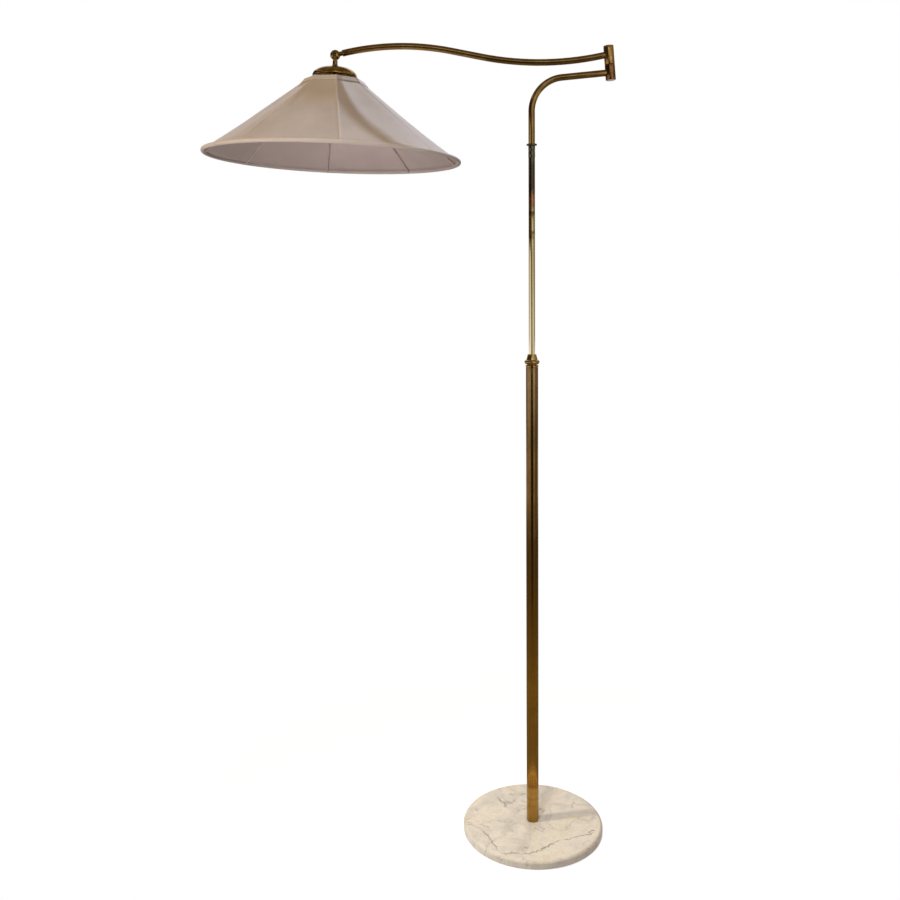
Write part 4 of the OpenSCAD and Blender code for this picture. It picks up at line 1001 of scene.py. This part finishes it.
# From the bottom of the globe round to its neck
neck = math.degrees(math.acos(0.01869 / GLOBE_R))
angles = [180 - (180 - neck) * i / 32 for i in range(33)]
outside = arc((0, GLOBE), GLOBE_R, GLOBE_R, angles) + [(0.01252, HOLDER - 0.043)]
inside = arc((0, GLOBE), GLOBE_BORE, GLOBE_BORE, angles) + [(0.01172, HOLDER - 0.043)]
piece("bulb", on_head(turned(outside + inside[::-1], 64)), frosted_glass, "head", "bulb_glass", "bulb_globe")

# Floor and background
# A plain pale sheet, white to the eye and to the metal, as the world round it is.
# It keeps the lamp's faint shadow near the base.


def in_view(tree):
    """Is 1 for what the camera, metal and glass see, and 0 for light on the rest."""
    path = add(tree, "ShaderNodeLightPath")
    seen = add(tree, "ShaderNodeMath", {
        0: path.outputs["Is Camera Ray"], 1: path.outputs["Is Glossy Ray"],
    }, operation="MAXIMUM")
    shown = add(tree, "ShaderNodeMath", {
        0: seen.outputs[0], 1: path.outputs["Is Transmission Ray"],
    }, operation="MAXIMUM")
    return shown.outputs[0]


paper, tree = new_finish("white_paper_floor")
place = add(tree, "ShaderNodeTexCoord")
out = add(tree, "ShaderNodeVectorMath", {0: place.outputs["Object"]}, operation="LENGTH")
# The shadow fades out between 0.25 and 0.8 m from the stem
near = add(tree, "ShaderNodeMapRange", {
    "Value": out.outputs["Value"], "From Min": 0.25, "From Max": 0.8, "To Min": 1.0, "To Max": 0.0,
})
glow = add(tree, "ShaderNodeEmission", {"Color": linear("#ffffff"), "Strength": 1.0})
pale = add(tree, "ShaderNodeEmission", {"Color": linear("#ffffff"), "Strength": 0.87})
faint = add(tree, "ShaderNodeBsdfDiffuse", {"Color": linear("#a2a2a2")})
lit = add(tree, "ShaderNodeAddShader", {0: pale.outputs[0], 1: faint.outputs[0]})
white = add(tree, "ShaderNodeMixShader", {"Fac": near.outputs[0], 1: glow.outputs[0], 2: lit.outputs[0]})
matte = add(tree, "ShaderNodeBsdfDiffuse", {"Color": linear("#85878c")})
both = add(tree, "ShaderNodeMixShader", {"Fac": in_view(tree), 1: matte.outputs[0], 2: white.outputs[0]})
add(tree, "ShaderNodeOutputMaterial", {"Surface": both.outputs[0]})


def stage_sheet(name, bm, coat, only_in_metal):
    """A sheet of the studio; one that only the metal sees takes no part in the rest of the light."""
    mesh = bpy.data.meshes.new(name)
    bm.to_mesh(mesh)
    bm.free()
    mesh.materials.append(coat)
    sheet = bpy.data.objects.new(name, mesh)
    bpy.context.scene.collection.objects.link(sheet)
    for ray in ("camera", "diffuse", "shadow"):
        setattr(sheet, "visible_" + ray, not only_in_metal)


bm = bmesh.new()
bmesh.ops.create_grid(bm, x_segments=1, y_segments=1, size=40)
stage_sheet("floor", bm, paper, False)

world = bpy.data.worlds.new("studio")
bpy.context.scene.world = world
world.use_nodes = True
tree = world.node_tree
tree.nodes.clear()
fill = add(tree, "ShaderNodeBackground", {"Color": linear("#ffebd7"), "Strength": 0.35})
white = add(tree, "ShaderNodeBackground", {"Color": linear("#ffffff"), "Strength": 1.0})
both = add(tree, "ShaderNodeMixShader", {"Fac": in_view(tree), 1: fill.outputs[0], 2: white.outputs[0]})
add(tree, "ShaderNodeOutputWorld", {"Surface": both.outputs[0]})

# Lights
# A cool lamp far off at the back right throws the arm's shadow on the shade, like daylight from a window.
# Warm lamps light the rest: one at the left throws the stem's shadow on the marble, and the others are soft.
SHADE_MIDDLE = (-0.39, 0, 1.5)
SHADE_INSIDE = (-0.39, 0, 1.42)
BASE_MIDDLE = (0, 0, 0.02)


def lamp(name, kind, place, target, power, colour, **settings):
    """A lamp turned to a point; the metal sees the sheets of the studio instead of it."""
    made = bpy.data.objects.new(name, bpy.data.lights.new(name, kind))
    bpy.context.scene.collection.objects.link(made)
    made.data.energy = power
    made.data.color = linear(colour)[:3]
    for setting, value in settings.items():
        setattr(made.data, setting, value)
    aim = (Vector(target) - Vector(place)).to_track_quat("-Z", "Y").to_matrix().to_4x4()
    made.matrix_world = Matrix.Translation(place) @ aim
    made.visible_glossy = False


# Name, place, target, power, colour, size of the source, angle of the cone in degrees, softness of its edge
for name, place, target, power, colour, size, cone, blend in (
    ("shade_spot", (1.3, 3.2, 4.9), SHADE_MIDDLE, 1350, "#cfe0ff", 0.1, 17, 0.25),
    ("base_spot", (-3.2, -0.8, 2.2), BASE_MIDDLE, 255, "#fffaf0", 0.1, 15, 0.3),
    ("base_soft", (-0.5, -1.5, 3.2), BASE_MIDDLE, 150, "#fffaf0", 0.25, 16, 0.5),
    ("under_soft", (-0.9, -1.6, 0.2), SHADE_INSIDE, 150, "#fff0ea", 0.4, 20, 0.4),
):
    lamp(name, "SPOT", place, target, power, colour,
         shadow_soft_size=size, spot_size=math.radians(cone), spot_blend=blend)
lamp("front_box", "AREA", (0.5, -2.6, 3.4), (0, 0, 0.6), 13, "#ffebd7", size=1.6)
lamp("left_box", "AREA", (-2.6, -0.7, 2.4), SHADE_MIDDLE, 15.5, "#ffdf9c", size=0.6)

# Studio sheets
# Cards that only the metal sees: the floor round the base, the ceiling, the dark room in front and the sides.
# They draw the dark edges and lines along the tubes.


def card(name, colour):
    """A plain card that shows the metal one even colour."""
    coat, tree = new_finish(name)
    surface = add(tree, "ShaderNodeEmission", {"Color": linear(colour), "Strength": 1.0})
    add(tree, "ShaderNodeOutputMaterial", {"Surface": surface.outputs[0]})
    return coat


dark_card = card("dark_card", "#453f37")
grey_card = card("grey_card", "#857f73")
pale_card = card("pale_card", "#aca696")
stage_sheet("floor_card", turned([(0.17, 0.002), (3.2, 0.002), (3.2, 0.003), (0.17, 0.003)]), grey_card, True)
# Name, centre, width, height, turn about Z and tilt from lying flat, both in degrees, finish
for name, centre, width, height, turn, tilt, coat in (
    ("strip_card", (-0.12, -2.0, 0.004), 0.85, 1.4, 0, 0, dark_card),
    ("front_card", (-0.15, -2.7, 0.78), 2.2, 1.56, 0, 90, dark_card),
    ("high_card", (-0.1, -2.7, 1.83), 0.6, 0.54, 0, 90, dark_card),
    ("left_front_card", (-1.99, -2.50, 2.6), 2.8, 2.0, -38.5, 90, dark_card),
    ("left_back_card", (-3.08, 0.88, 2.6), 6.2, 2.0, -106, 90, dark_card),
    ("ceiling_card", (0.0, -1.8, 4.6), 8.0, 8.6, 0, 0, grey_card),
    ("left_card", (-7.4, 5.2, 3.0), 8.0, 6.0, 55, 90, grey_card),
    ("right_card", (7.4, 5.2, 3.0), 8.0, 6.0, -55, 90, grey_card),
    ("side_card", (3.6, -1.2, 2.0), 4.0, 4.0, -72, 90, pale_card),
):
    bm = bmesh.new()
    bmesh.ops.create_grid(bm, x_segments=1, y_segments=1, size=0.5, matrix=(
        Matrix.Translation(centre) @ Matrix.Rotation(math.radians(turn), 4, "Z")
        @ Matrix.Rotation(math.radians(tilt), 4, "X") @ Matrix.Diagonal((width, height, 1, 1))
    ))
    stage_sheet(name, bm, coat, True)

bpy.context.scene.view_settings.view_transform = "Standard"
